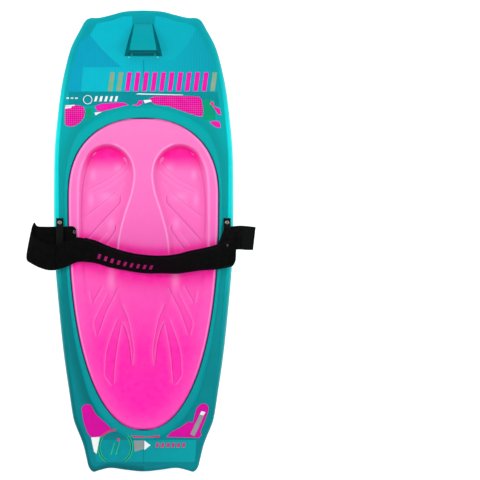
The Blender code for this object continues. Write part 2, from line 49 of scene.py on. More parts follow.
# The board, as the CAD source has it
LENGTH, THICKNESS, END_THICKNESS, THIN_FROM = 1.27, 0.07, 0.03, 0.22
FLAT_HALF_LENGTH, NOSE_ROCKER, TAIL_ROCKER, ROCKER_POWER = 0.15, 0.08, 0.06, 2.2
CHINE, CHINE_END, CHINE_RISE = 0.13, 0.22, 0.006
RAIL_SHARE, RAIL_TOP, RAIL_BOTTOM = 0.55, 0.011, 0.03
SPINE_SHARE = 0.42  # the shell's rows run in from the outline to this share of their y
BOARD_OUTLINE = mm(
    (0, 635), (50, 632.5), (85, 624), (120, 615.7), (146, 614.7), (160.5, 606), (173, 585), (198, 538),
    (213.5, 487), (227.5, 421), (238, 340), (246, 250), (248, 130), (246.8, 20), (242.5, -89),
    (223.5, -287), (205, -419), (194.5, -485), (186, -512), (174.5, -539), (165, -565), (156.5, -600),
    (150, -623), (138, -635), (122, -631), (90, -624.5), (45, -630), (0, -634),
)
PAD_HALF_WIDTH, PAD_NOSE, PAD_WIDEST, PAD_TAIL = 0.209, 0.34, 0.12, -0.521
PAD_POWER_X, PAD_POWER_Y = 2.2, 2.4
PAD_EDGE, PAD_CROWN, PAD_THICKNESS, PAD_GAP = 0.004, 0.01, 0.012, 0.0024
RIM_WIDTH, RIM_HEIGHT, RIM_MOST_SHARE = 0.03, 0.004, 0.28
RIM_WALL = ((0.0002, 0.25), (0.0008, 0.75), (0.0018, 0.94), (0.0035, 1))  # from the bed, share of its height
RIM_SLOPE = (  # share of the rim's width, share of its height
    (0.25, 1), (0.45, 0.97), (0.62, 0.9), (0.76, 0.7), (0.86, 0.38), (0.94, 0.1), (1, 0),
)
WELL_DEPTHS = mm((-420, 3), (-200, 6), (0, 11), (160, 21), (270, 24))  # y, depth
WELL_WALL = 0.022
WELL_OUTLINE = mm(
    (100, 270), (74.5, 265), (50, 249), (32.5, 224), (25.5, 197), (25, 170), (32.5, 130), (47, 86),
    (61, 36), (69.5, -20), (70, -90), (58, -160), (37, -235), (24, -300), (28, -365), (60, -415),
    (100, -385), (135, -300), (159, -190), (174, -80), (179, 30), (178, 130), (173.5, 187), (163.5, 225),
    (147.5, 250), (125, 265),
)
FRONT_FIN = mm((128, 580), (138, 530), (139, 470), (134, 395))
REAR_FIN = mm((135, -330), (150, -400), (163, -455), (158, -520), (136, -595))
FIN_HALF_WIDTH, FIN_HEIGHT = 0.015, 0.011
CHANNELS = mm((118, 1.2), (182, 0.9))  # x, depth
CHANNEL_HALF_WIDTH = 0.004
HOOK_SECTIONS = mm(  # y at the foot and at the top, half width at the foot and at the top, height
    (603, 600, 29, 24, 1), (590, 588, 33.5, 26.5, 9), (564, 565, 43, 30, 21), (536, 542, 51.5, 34.5, 30),
    (508.5, 525, 59, 37, 32),
)
HOOK_FOOT, HOOK_BEVEL, BRACKET_BEVEL = 0.003, 0.0016, 0.0013
NOTCH_HALF_WIDTH, NOTCH_FRONT, NOTCH_BACK, NOTCH_LOW, NOTCH_HIGH = 0.035, 0.538, 0.48, 0.003, 0.023
GAP, BED_GAP = 0.0004, 0.002

# Brackets, screws and strap, as the CAD source has them
BRACKET_X, BRACKET_HALF_LENGTH, BRACKET_WIDTH, BRACKET_THICKNESS = 0.2306, 0.064, 0.02, 0.0035
SLOT_HALF_LENGTH, SLOT_HEIGHT = 0.041, 0.008
SCREW_Y, SCREW_HEAD, SCREW_DOME, RECESS_DEPTH = 0.0515, 0.0062, 0.0032, 0.0016
SHANK_RADIUS, SHANK_LENGTH = 0.0024, 0.016
WEBBING, PADDING, PILE = 0.0022, 0.0045, 0.0014
STRAP_HALF_WIDTH = 0.038
STRAP_ROUTE = np.array((  # x, y and z of the strap's middle, and its tilt in degrees
    (-245, -44.5, 96, 22), (-225, -39.5, 95.5, 22), (-211.5, -35, 96, 22), (-193.3, -27, 98.5, 25),
    (-175.3, -22.6, 102.5, 28), (-134.2, -29.5, 110.5, 37), (-95, -43, 117.5, 44), (-60, -53, 125, 48),
    (-20, -61, 131, 51), (18.4, -64.8, 136, 52), (47.5, -65.5, 138, 53), (89.6, -63.9, 137, 49),
    (129.9, -56.3, 131, 43), (170.2, -49.8, 121.5, 38), (200.4, -44.5, 111, 31), (220.6, -37.5, 100, 15),
    (235, -34, 93, 8), (245, -32.5, 90.8, 5), (256, -31.5, 89.8, 4),
)) * (MM, MM, MM, 1)
STRAP_MIDDLE = 0.03  # the two halves of the strap meet here
PADDING_FROM, PADDING_TO = -0.16, 0.205

# The camera and the world's light, near the horizon and overhead
WORLD_LOW, WORLD_TOP = 0.68, 0.38
CAMERA_PLACE, LENS, SENSOR = (0.2662, 0.0037, 11.978), 324, 36
LIGHTS = (  # name, place, size, power
    ("left_key", (-2.5, 1.1, 2.2), (0.8, 1.4), 28), ("right_key", (2.8, 0.9, 2.3), (0.8, 1.4), 28),
    ("nose_light", (0.1, 3.0, 2.6), (1.6, 0.8), 14), ("overhead", (0.0, 0.0, 3.2), (2.4, 2.4), 29),
)
FLOOR_REACH, FLOOR_GLOW = 9.0, 0.75

# Colours, linear
BLACK, BRACKET_BLACK, GREY = (0.0022, 0.0022, 0.0024), (0.0025, 0.0028, 0.003), (0.0035, 0.0035, 0.0038)
STITCH_GREY, CORE_CREAM = (0.02, 0.02, 0.022), (0.75, 0.68, 0.5)


# Curves and heights


def smooth(low, high, value):
    share = np.clip((value - low) / (high - low), 0.0, 1.0)
    return share * share * (3 - 2 * share)


def ridge(distance, width):
    """1 at no distance, falling off like a bell on both sides."""
    return np.exp(-((distance / width) ** 2))


def through(points, steps):
    """Points on a Catmull-Rom curve through the given ones, as an array."""
    points = np.array(points, float)
    padded = np.vstack([2 * points[0] - points[1], points, 2 * points[-1] - points[-2]])
    curve = []
    for a, b, c, d in zip(padded, padded[1:], padded[2:], padded[3:]):
        t = np.arange(steps)[:, None] / steps
        curve.append(0.5 * (2 * b + (c - a) * t + (2 * a - 5 * b + 4 * c - d) * t**2
                            + (3 * b - a - 3 * c + d) * t**3))
    return np.vstack([*curve, points[-1]])


def evenly(curve, spacing):
    """The same curve with its points this far apart."""
    lengths = np.concatenate([[0], np.cumsum(np.linalg.norm(np.diff(curve, axis=0), axis=1))])
    places = np.linspace(0, lengths[-1], int(round(lengths[-1] / spacing)) + 1)
    return np.stack([np.interp(places, lengths, column) for column in curve.T], axis=1)


def to_line(x, y, line):
    """(distance to a line of points, which side of it, share of the way along it) at each x and y."""
    x, y = np.asarray(x, float), np.asarray(y, float)
    nearest, side, along = np.full(x.shape, 9.0), np.ones(x.shape), np.zeros(x.shape)
    for index, (a, b) in enumerate(zip(line, line[1:])):
        dx, dy = b[0] - a[0], b[1] - a[1]
        share = np.clip(((x - a[0]) * dx + (y - a[1]) * dy) / (dx * dx + dy * dy), 0, 1)
        distance = np.hypot(x - a[0] - share * dx, y - a[1] - share * dy)
        closer = distance < nearest
        nearest = np.where(closer, distance, nearest)
        side = np.where(closer, np.sign((x - a[0]) * dy - (y - a[1]) * dx), side)
        along = np.where(closer, (index + share) / (len(line) - 1), along)
    return nearest, side, along


def rocker(y):
    share = np.maximum(0.0, np.abs(y) - FLAT_HALF_LENGTH) / (LENGTH / 2 - FLAT_HALF_LENGTH)
    return np.where(y > 0, NOSE_ROCKER, TAIL_ROCKER) * share**ROCKER_POWER


def thickness(y):
    return THICKNESS - (THICKNESS - END_THICKNESS) * smooth(THIN_FROM, LENGTH / 2, np.abs(y))


def deck_z(y):
    return rocker(y) + thickness(y)


def rail_z(y):
    return rocker(y) + RAIL_SHARE * thickness(y)


def bottom_z(x, y):
    """The bottom with its fins and the shallow channels beside its flat middle."""
    x = np.abs(x)
    z = rocker(y) + CHINE_RISE * smooth(CHINE, CHINE_END, x)
    for crest in (FRONT_FIN, REAR_FIN):
        distance, _, along = to_line(x, y, through(crest, 6))
        size = 0.12 + 0.88 * np.sin(np.pi * np.clip(along, 0.02, 0.98))
        reach = FIN_HALF_WIDTH * (0.35 + 0.65 * size)
        z = z - FIN_HEIGHT * size * np.sqrt(np.clip(1 - (distance / reach) ** 2, 0, 1)) ** 1.3
    for channel, depth in CHANNELS:
        z = z + depth * ridge(x - channel, CHANNEL_HALF_WIDTH) * smooth(0.56, 0.42, np.abs(y))
    return z


def pad_end(y):
    """How far y is from the pad's widest place towards its end there, as a power that is 1 at that end."""
    reach = np.where(y > PAD_WIDEST, PAD_NOSE - PAD_WIDEST, PAD_WIDEST - PAD_TAIL)
    return (np.abs(y - PAD_WIDEST) / reach) ** PAD_POWER_Y


def egg(x, y):
    """1 on the pad's edge, less inside."""
    return (np.abs(x) / PAD_HALF_WIDTH) ** PAD_POWER_X + pad_end(y)


def pad_half_width(y):
    return PAD_HALF_WIDTH * np.maximum(0.0, 1 - pad_end(y)) ** (1 / PAD_POWER_X)


def well_reach(x, y):
    """How far inside the edge of a knee well each x and y is, or 0 outside."""
    closed = np.vstack([WELL_OUTLINE[-1], WELL_OUTLINE, WELL_OUTLINE[:2]])
    ring = through(closed, 8)[8:-8]
    distance, _, _ = to_line(np.abs(x), y, ring)
    inside = np.zeros(np.shape(x), bool)
    for a, b in zip(ring, ring[1:]):
        if a[1] != b[1]:
            crosses = (a[1] > y) != (b[1] > y)
            inside ^= crosses & (np.abs(x) < a[0] + (b[0] - a[0]) * (y - a[1]) / (b[1] - a[1]))
    return np.where(inside, distance, 0.0)


def well_depth(x, y, wall):
    """How far the pad's top is let down at each x and y for a knee and shin."""
    return np.interp(y, *WELL_DEPTHS.T) * smooth(0.0, wall, well_reach(x, y))


def pad_top_z(x, y, wall=WELL_WALL):
    return deck_z(y) + PAD_EDGE + PAD_CROWN * np.maximum(0.0, 1 - egg(x, y)) - well_depth(x, y, wall)


def bed_z(x, y):
    return pad_top_z(x, y) - PAD_THICKNESS


# Meshes


def link(made):
    bpy.context.scene.collection.objects.link(made)
    return made


def mesh_object(name, verts, faces, *materials, smooth_shaded=True):
    mesh = bpy.data.meshes.new(name)
    mesh.from_pydata([tuple(v) for v in verts], [], faces)
    mesh.validate()
    if smooth_shaded:
        mesh.shade_smooth()
    for material in materials:
        mesh.materials.append(material)
    return link(bpy.data.objects.new(name, mesh))


def grid_faces(rows, columns, closed=False, first=0):
    """Quads between the rows of a grid of vertices, whose columns may close on themselves."""
    steps = columns if closed else columns - 1
    return [(first + r * columns + c, first + r * columns + (c + 1) % columns,
             first + (r + 1) * columns + (c + 1) % columns, first + (r + 1) * columns + c)
            for r in range(rows - 1) for c in range(steps)]


def tidy_mesh(made, merge=True):
    """Joins doubled vertices, unless told not to, and turns every face outwards."""
    work = bmesh.new()
    work.from_mesh(made.data)
    if merge:
        bmesh.ops.remove_doubles(work, verts=work.verts, dist=1e-6)
    bmesh.ops.recalc_face_normals(work, faces=work.faces)
    work.to_mesh(made.data)
    work.free()
    return made


def bevel(made, width, angle, material):
    """Rounds the edges sharper than this angle, and gives the piece its one material."""
    modifier = made.modifiers.new("bevel", "BEVEL")
    modifier.width, modifier.segments, modifier.limit_method = width, 4, "ANGLE"
    modifier.angle_limit = math.radians(angle)
    modifier.harden_normals = False
    graph = bpy.context.evaluated_depsgraph_get()
    mesh = bpy.data.meshes.new_from_object(made.evaluated_get(graph))
    made.modifiers.clear()
    made.data = mesh
    mesh.shade_smooth()
    mesh.materials.clear()
    mesh.materials.append(material)


def set_attribute(made, name, values, kind="FLOAT"):
    values = np.asarray(values, np.float32)
    attribute = made.data.attributes.new(name, kind, "POINT")
    attribute.data.foreach_set("value" if kind == "FLOAT" else "vector", values.ravel())


# Materials


class Look:
    """A material whose colour, roughness and relief come from nodes."""

    def __init__(self, name, roughness=0.5, metallic=0.0, **sockets):
        self.material = bpy.data.materials.new(name)
        self.material.use_nodes = True
        self.tree = self.material.node_tree
        self.shader = self.tree.nodes["Principled BSDF"]
        self.place = self.node("ShaderNodeTexCoord").outputs["Object"]
        self.shader.inputs["Roughness"].default_value = roughness
        self.shader.inputs["Metallic"].default_value = metallic
        for key, value in sockets.items():
            self.shader.inputs[key.replace("_", " ")].default_value = value

    def node(self, kind, inputs=(), **settings):
        made = self.tree.nodes.new(kind)
        for key, value in settings.items():
            setattr(made, key, value)
        for key, value in dict(inputs).items():
            if isinstance(value, bpy.types.NodeSocket):
                self.tree.links.new(value, made.inputs[key])
            else:
                made.inputs[key].default_value = value
        return made

    def math(self, operation, first, second=0.5):
        return self.node("ShaderNodeMath", {0: first, 1: second}, operation=operation).outputs[0]

    def vector(self, operation, first, inputs=()):
        made = self.node("ShaderNodeVectorMath", {0: first, **dict(inputs)}, operation=operation)
        return made.outputs[1 if operation == "LENGTH" else 0]

    def axis(self, name, vector=None):
        return self.node("ShaderNodeSeparateXYZ", {0: vector or self.place}).outputs[name]

    def noise(self, scale, detail=3.0):
        inputs = {"Vector": self.place, "Scale": scale, "Detail": detail, "Roughness": 0.55}
        return self.node("ShaderNodeTexNoise", inputs).outputs["Fac"]

    def cells(self, scale):
        return self.node("ShaderNodeTexVoronoi", {"Vector": self.place, "Scale": scale}).outputs["Distance"]

    def between(self, value, low, high, to_low=0.0, to_high=1.0):
        inputs = {0: value, 1: low, 2: high, 3: to_low, 4: to_high}
        return self.node("ShaderNodeMapRange", inputs).outputs[0]

    def ramp(self, value, stops):
        made = self.node("ShaderNodeValToRGB", {0: value})
        elements = made.color_ramp.elements
        while len(elements) < len(stops):
            elements.new(0.5)
        for element, (place, colour) in zip(elements, stops):
            element.position, element.color = place, (*colour, 1.0)
        return made.outputs[0]

    def along_board(self, stops):
        """A ramp of colours from 0 at the tail to 1 at the nose."""
        return self.ramp(self.between(self.axis("Y"), -LENGTH / 2, LENGTH / 2), stops)

    def mix(self, share, first, second):
        made = self.node("ShaderNodeMix", {0: share}, data_type="RGBA")
        for socket, value in ((made.inputs[6], first), (made.inputs[7], second)):
            if isinstance(value, bpy.types.NodeSocket):
                self.tree.links.new(value, socket)
            else:
                socket.default_value = (*value, 1.0)
        return made.outputs[2]

    def attribute(self, name, output="Fac"):
        return self.node("ShaderNodeAttribute", attribute_name=name).outputs[output]

    def colour(self, value):
        self.tree.links.new(value, self.shader.inputs["Base Color"])

    def mottle(self, colour, other, scale, low, high, detail=3.0):
        """A colour with cloudy patches of another: a colour, or how much brighter the patches are."""
        if isinstance(other, float):
            other = tuple(other * c for c in colour)
        return self.mix(self.between(self.noise(scale, detail), low, high), colour, other)

    def rough(self, scale, low, high):
        """Patches whose roughness lies between low and high."""
        value = self.between(self.noise(scale, 2.0), 0.3, 0.7, low, high)
        self.tree.links.new(value, self.shader.inputs["Roughness"])

    def relief(self, height, distance, strength):
        """Adds this height, in metres of distance, to whatever relief there is."""
        made = self.node("ShaderNodeBump", {"Strength": strength, "Distance": distance, "Height": height})
        socket = self.shader.inputs["Normal"]
        if socket.links:
            self.tree.links.new(socket.links[0].from_socket, made.inputs["Normal"])
        self.tree.links.new(made.outputs[0], socket)


def deck_look():
    look = Look("deck_plastic", Specular_IOR_Level=0.05)
    # Painted shade: the deck's teal is painted darker towards the tail
    base = look.along_board([(0.05, (0.001, 0.2, 0.24)), (0.4, (0.001, 0.27, 0.29)), (0.62, (0, 0.37, 0.385)),
                             (0.8, (0, 0.38, 0.4)), (0.93, (0, 0.325, 0.385))])
    cloudy = look.between(look.noise(9.0, 2.0), 0.35, 0.7)
    base = look.mix(look.math("MULTIPLY", cloudy, 0.16), base, (0, 0.42, 0.44))
    # Painted shade from the shade attribute: the pad's gap, the rim's foot, the rear rails and the hook's
    # flanks
    base = look.mix(look.attribute("shade"), base, (0, 0.115, 0.13))
    # Painted highlight from the rail attribute: the side rails, and a lighter rim in the board's rear half
    look.colour(look.mix(look.attribute("rail"), base, (0.002, 0.72, 0.74)))
    look.rough(160.0, 0.3, 0.4)
    look.relief(look.noise(420.0, 2.0), 0.0001, 0.2)
    return look.material


def bottom_look():
    look = Look("bottom_plastic", Specular_IOR_Level=0.14)
    base = look.along_board([(0.06, (0, 0.16, 0.37)), (0.24, (0, 0.5, 0.56)), (0.5, (0, 0.8, 0.78)),
                             (0.78, (0, 0.62, 0.74)), (0.97, (0, 0.4, 0.66))])
    side = look.between(look.axis("X"), 0.02, 0.22)
    look.colour(look.mix(look.math("MULTIPLY", side, 0.35), base, (0, 0.85, 0.45)))
    look.rough(140.0, 0.3, 0.42)
    look.relief(look.noise(380.0, 2.0), 0.0001, 0.2)
    return look.material


def pad_look():
    look = Look("knee_foam", 0.82, Specular_IOR_Level=0.03)
    base = look.along_board([(0.12, (1, 0.016, 0.44)), (0.27, (1, 0.024, 0.425)), (0.38, (0.98, 0.085, 0.48)),
                             (0.5, (0.98, 0.15, 0.53)), (0.75, (0.92, 0.215, 0.56))])
    # Painted light on the foam: shade on the wells' fronts and beside the strap, highlights, and shade in the
    # creases
    painted = {"painted_shade": (1, 0.002, 0.34), "light": (1, 0.42, 0.78), "line": (0.62, 0.004, 0.25)}
    for name, colour in painted.items():
        base = look.mix(look.attribute(name), base, colour)
    mottle = look.between(look.noise(55.0, 4.0), 0.35, 0.65)
    look.colour(look.mix(look.math("MULTIPLY", mottle, 0.05), base, (1, 0.3, 0.66)))
    look.rough(300.0, 0.74, 0.9)
    look.relief(look.cells(620.0), 0.0003, 0.35)
    look.relief(look.noise(1100.0, 2.0), 0.0002, 0.3)
    return look.material


def webbing_look(name, colour):
    """Nylon webbing: the weave attribute holds how far across the band, and how far along it, in metres."""
    look = Look(name, 0.78, Specular_IOR_Level=0.04)
    weave = look.attribute("weave", "Vector")
    picks = look.math("SINE", look.math("MULTIPLY", look.axis("Y", weave), 2420.0))
    ends = look.math("SINE", look.math("MULTIPLY", look.axis("X", weave), 3300.0))
    height = look.math("MULTIPLY_ADD", picks, 0.5)
    twill = look.math("MULTIPLY", picks, ends)
    look.colour(look.mottle(colour, 1.9, 90.0, 0.35, 0.7, 4.0))
    look.tree.links.new(look.between(twill, -1.0, 1.0, 0.88, 0.66), look.shader.inputs["Roughness"])
    look.relief(look.math("ADD", height, twill), 0.0003, 0.55)
    return look.material


def neoprene_look():
    look = Look("neoprene", 0.9, Specular_IOR_Level=0.04)
    look.colour(look.mottle(BLACK, 1.7, 130.0, 0.3, 0.7))
    look.relief(look.noise(900.0), 0.0003, 0.5)
    return look.material


def loop_pile_look():
    look = Look("loop_pile", 0.95, Specular_IOR_Level=0.05)
    cells = look.cells(750.0)
    look.colour(look.mix(cells, (0.009, 0.009, 0.0095), (0.004, 0.004, 0.004)))
    look.relief(look.math("ADD", cells, look.noise(1500.0, 2.0)), 0.0006, 0.8)
    return look.material


def moulded_look(name, colour, low, high):
    look = Look(name, Specular_IOR_Level=0.12)
    look.colour(look.mottle(colour, 1.5, 70.0, 0.35, 0.7))
    look.rough(260.0, low, high)
    look.relief(look.noise(800.0, 2.0), 0.0001, 0.4)
    return look.material


def metal_look(name, colour, low, high):
    look = Look(name, metallic=1.0)
    look.colour(look.mottle(colour, 0.75, 260.0, 0.4, 0.75))
    look.rough(700.0, low, high)
    return look.material


def print_look(name, colour, other=0.86, lines=False, dots=False, right=None):
    """Ink under the shell's gloss: plain, with fine lines along the board, with a halftone of dots, or
    turning to another colour on the board's right."""
    look = Look(f"ink_{name}", Specular_IOR_Level=0.05)
    base = look.mottle(colour, other, 40.0, 0.3, 0.75)
    if right:
        base = look.mix(look.between(look.axis("X"), -0.06, 0.19), base, right)
    if lines:
        stripe = look.math("SINE", look.math("MULTIPLY", look.axis("X"), 2 * math.pi / LINE_SPACING))
        base = look.mix(look.between(stripe, -0.6, 0.9, 0.0, 0.24), base, (0.0, 0.72, 0.86))
    if dots:
        cell = look.vector("FRACTION", look.vector("SCALE", look.place, {3: 1 / DOT_SPACING}))
        middle = look.vector("SUBTRACT", cell, {1: (0.5, 0.5, 0.5)})
        radius = look.vector("LENGTH", look.vector("MULTIPLY", middle, {1: (1, 1, 0)}))
        base = look.mix(look.between(radius, 0.26, 0.42, 0.95, 0.0), base, (0.4, 0.0, 0.16))
    look.colour(base)
    look.rough(160.0, 0.26, 0.36)
    return look.material


# The shell


LEDGE_AT, LEDGE_WIDTH, LEDGE_DEPTH, OUTER_DEPTH, FLANGE_DEPTH = 0.015, 0.0016, 0.0016, 0.0008, 0.001
LEDGE_ROWS = mm(19.5, 18, 17, 16.2, 15.5, 14.8, 14.1, 13.4, 12.5)  # their distances from the edge
BED_ROWS = (1, 0.85, 0.7, 0.55, 0.4, 0.27, 0.14, 0.05, 0)  # shares of the way to the bed's middle
LEDGE_FOOT, DECK_ROWS, BOTTOM_ROWS, RAIL_TOP_ROWS, RAIL_BOTTOM_ROWS = 0.0215, 24, 64, 9, 10


def half_outline(spacing=0.005):
    """The outline's right half, smooth through the middle of the nose and of the tail."""
    mirrored = BOARD_OUTLINE * (-1, 1)
    whole = np.vstack([mirrored[1], BOARD_OUTLINE, mirrored[-2]])
    return evenly(through(whole, 12)[12:-12], spacing)


def ray_bed(start, direction, length):
    """How far along each ray the edge of the pad's bed is."""
    outside, within = np.zeros(len(start)), length.copy()
    for _ in range(40):
        middle = (outside + within) / 2
        point = start + direction * middle[:, None]
        over = egg(point[:, 0], point[:, 1]) > 1
        outside, within = np.where(over, middle, outside), np.where(over, within, middle)
    return within


def deck_relief(distance, y):
    """The ledge that runs inside each side rail, and the shallow step at the foot of the nose's flange."""
    sides = smooth(0.238, 0.228, y) * smooth(-0.36, -0.3, y)
    ledge = -LEDGE_DEPTH * ridge(distance - LEDGE_AT, LEDGE_WIDTH)
    outer = -OUTER_DEPTH * (1 - smooth(0.012, 0.0165, distance))
    flange = -FLANGE_DEPTH * (1 - smooth(0.013, 0.02, distance)) * smooth(0.3, 0.42, np.abs(y))
    return (ledge + outer) * sides + flange


def rim_shade(beyond, y):
    """The painted shade on the deck this far outside the foot of the rim. The painted shade is deepest at the
    tail.
    """
    most = np.interp(y, (-0.58, -0.45, -0.1, 0.1, 0.33, 0.42), (0.0, 0.6, 0.5, 0.2, 0.28, 0.0))
    return most * smooth(-0.008, 0.003, beyond) * (1 - smooth(0.004, 0.04, beyond))


def rail_highlight(y):
    """How strong the painted highlight on the rail is along the board: most beside the front half of the pad.
    """
    places = (-0.62, -0.4, -0.15, -0.02, 0.1, 0.3, 0.4, 0.5, 0.62)
    return np.interp(y, places, (0.0, 0.02, 0.1, 0.45, 0.9, 1.00, 0.6, 0.15, 0.05))


class HullRows:
    """Rows of the hull's right half. Each runs round the outline at its own distance in from the edge."""

    def __init__(self):
        self.start = half_outline()
        end = self.start * (0, SPINE_SHARE)
        self.length = np.linalg.norm(end - self.start, axis=1)
        self.direction = (end - self.start) / self.length[:, None]
        self.bed = ray_bed(self.start, self.direction, self.length)
        self.rim = np.minimum(RIM_WIDTH, RIM_MOST_SHARE * self.bed)
        self.foot = self.bed - self.rim
        self.rows, self.rail, self.right_shade, self.left_shade = [], [], [], []

    def add(self, distance, height, on_rail=0.0):
        """A row at this distance and height, with the highlight and the shade painted on the plastic there."""
        distance = np.broadcast_to(distance, self.length.shape)
        point = self.start + self.direction * distance[:, None]
        x, y = np.where(distance >= self.length - 1e-9, 0.0, point[:, 0]), point[:, 1]
        z = np.broadcast_to(height(x, y, distance), x.shape)
        self.rows.append(np.stack([x, y, z], axis=1))
        in_gap, behind = distance > self.bed - 0.0005, smooth(0.05, -0.08, y)
        # Painted highlight on the rails, and the rim painted lighter in the board's rear half
        self.rail.append(np.maximum(on_rail * rail_highlight(y), 0.13 * behind * (distance > self.foot + 0.002)))
        by_rim = (1 - on_rail) * rim_shade(self.foot - distance, y)
        # Painted shade in the pad's gap and by the rim's foot; in the rear half, less on the right, more on the
        # left rail
        self.right_shade.append(np.where(in_gap, 1.0, by_rim * (1 - 0.9 * behind)))
        self.left_shade.append(np.where(in_gap, 1.0, np.maximum(by_rim, 0.6 * on_rail * behind)))

    def add_bed(self):
        """The bed under the pad, from its middle to its wall."""
        for share in BED_ROWS:
            self.add(self.bed + (self.length - self.bed) * share, lambda x, y, d: bed_z(x, y) - BED_GAP)

    def add_rim(self):
        """Up the wall of the bed, over the rim's crest and down to the deck."""
        for back, height in RIM_WALL:
            self.add(self.bed - back, lambda x, y, d: deck_z(y) + RIM_HEIGHT * height)
        for share, height in RIM_SLOPE:
            self.add(self.bed - np.maximum(self.rim * share, 0.004 + 0.001 * share),
                     lambda x, y, d: deck_z(y) + RIM_HEIGHT * height)

    def add_deck(self):
        """From the foot of the rim to the ledge, and over the ledge in narrow rows."""
        for share in np.linspace(0, 1, DECK_ROWS)[1:]:
            self.add(self.foot + (LEDGE_FOOT - self.foot) * share, deck_height)
        for distance in (*LEDGE_ROWS, RAIL_TOP):
            self.add(distance, deck_height, smooth(0.0165, 0.013, distance))

    def add_arc(self, reach, flat_height, steps, count):
        """Rows of the quarter ellipse between a flat face and the outline."""
        for step in steps:
            angle = math.pi / 2 * step / count

            def height(x, y, distance):
                return rail_z(y) + (flat_height(x, y, distance) - rail_z(y)) * math.cos(angle)

            self.add(reach * (1 - math.sin(angle)), height, 1.0)

    def add_bottom(self):
        for share in np.linspace(0, 1, BOTTOM_ROWS):
            self.add(RAIL_BOTTOM + (self.length - RAIL_BOTTOM) * share, bottom_height)


def deck_height(x, y, distance):
    return deck_z(y) + deck_relief(distance, y)


def bottom_height(x, y, distance):
    return bottom_z(x, y)


def make_hull():
    grid = HullRows()
    grid.add_bed()
    grid.add_rim()
    grid.add_deck()
    grid.add_arc(RAIL_TOP, deck_height, range(1, RAIL_TOP_ROWS + 1), RAIL_TOP_ROWS)
    bottom_from = len(grid.rows)
    grid.add_arc(RAIL_BOTTOM, bottom_height, range(RAIL_BOTTOM_ROWS - 1, 0, -1), RAIL_BOTTOM_ROWS)
    grid.add_bottom()

    columns = len(grid.start)
    half = np.concatenate(grid.rows)
    faces = grid_faces(len(grid.rows), columns)
    mirrored_faces = [tuple(len(half) + v for v in reversed(face)) for face in faces]
    verts = np.vstack([half, half * (-1, 1, 1)])
    hull = mesh_object("hull", verts, faces + mirrored_faces, deck_look(), bottom_look())
    # The painted highlight and the painted shade that the deck's material reads
    set_attribute(hull, "rail", np.concatenate(grid.rail * 2))
    set_attribute(hull, "shade", np.concatenate(grid.right_shade + grid.left_shade))
    on_bottom = np.arange(len(faces)) >= (bottom_from - 1) * (columns - 1)
    hull.data.polygons.foreach_set("material_index", np.tile(on_bottom.astype(np.int32), 2))
    tidy_mesh(hull)
    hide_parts("hull_shell")
    return hull


def make_hook(deck_material):
    """The tow hook: a flared ramp with a level top, open at the back for the rope."""
    rings = []
    for base_y, top_y, base_half, top_half, height in through(HOOK_SECTIONS, 6):
        base, top = deck_z(base_y) - HOOK_FOOT, deck_z(top_y) + height
        ring = []
        for side, turn in ((1, (0, 1)), (-1, (1, 0))):
            for share in np.linspace(*turn, 9):
                rise = float(smooth(0.0, 1.0, share))
                flare = base_half + (top_half - base_half) * (1 - (1 - share) ** 1.8)
                ring.append((side * flare, base_y + (top_y - base_y) * rise, base + (top - base) * rise))
        rings.append(ring)
    columns = len(rings[0])
    faces = grid_faces(len(rings), columns, closed=True)
    faces += [tuple(range(columns)), tuple((len(rings) - 1) * columns + c for c in reversed(range(columns)))]
    hook = tidy_mesh(mesh_object("tow_hook", sum(rings, []), faces, smooth_shaded=False))
    middle = float(deck_z((NOTCH_FRONT + NOTCH_BACK) / 2))
    cutter = link(bpy.data.objects.new("notch_cutter", bpy.data.meshes.new("notch_cutter")))
    low = Vector((-NOTCH_HALF_WIDTH, NOTCH_BACK, middle + NOTCH_LOW))
    high = Vector((NOTCH_HALF_WIDTH, NOTCH_FRONT, middle + NOTCH_HIGH))
    work = bmesh.new()
    bmesh.ops.create_cube(work, size=1.0)
    bmesh.ops.scale(work, verts=work.verts, vec=high - low)
    bmesh.ops.translate(work, verts=work.verts, vec=(low + high) / 2)
    work.to_mesh(cutter.data)
    work.free()
    cut = hook.modifiers.new("notch", "BOOLEAN")
    cut.operation, cut.object = "DIFFERENCE", cutter
    bevel(hook, HOOK_BEVEL, 35, deck_material)
    bpy.data.objects.remove(cutter)
    y = np.array([v.co.y for v in hook.data.vertices])
    steep = 1 - np.abs(np.array([v.normal.z for v in hook.data.vertices]))
    set_attribute(hook, "rail", np.zeros(len(y)))
    # Painted shade on the hook's steep flanks, towards its back
    set_attribute(hook, "shade", 0.9 * smooth(0.05, 0.35, steep) * smooth(0.61, 0.585, y))
    return hook


# Prints on the shell


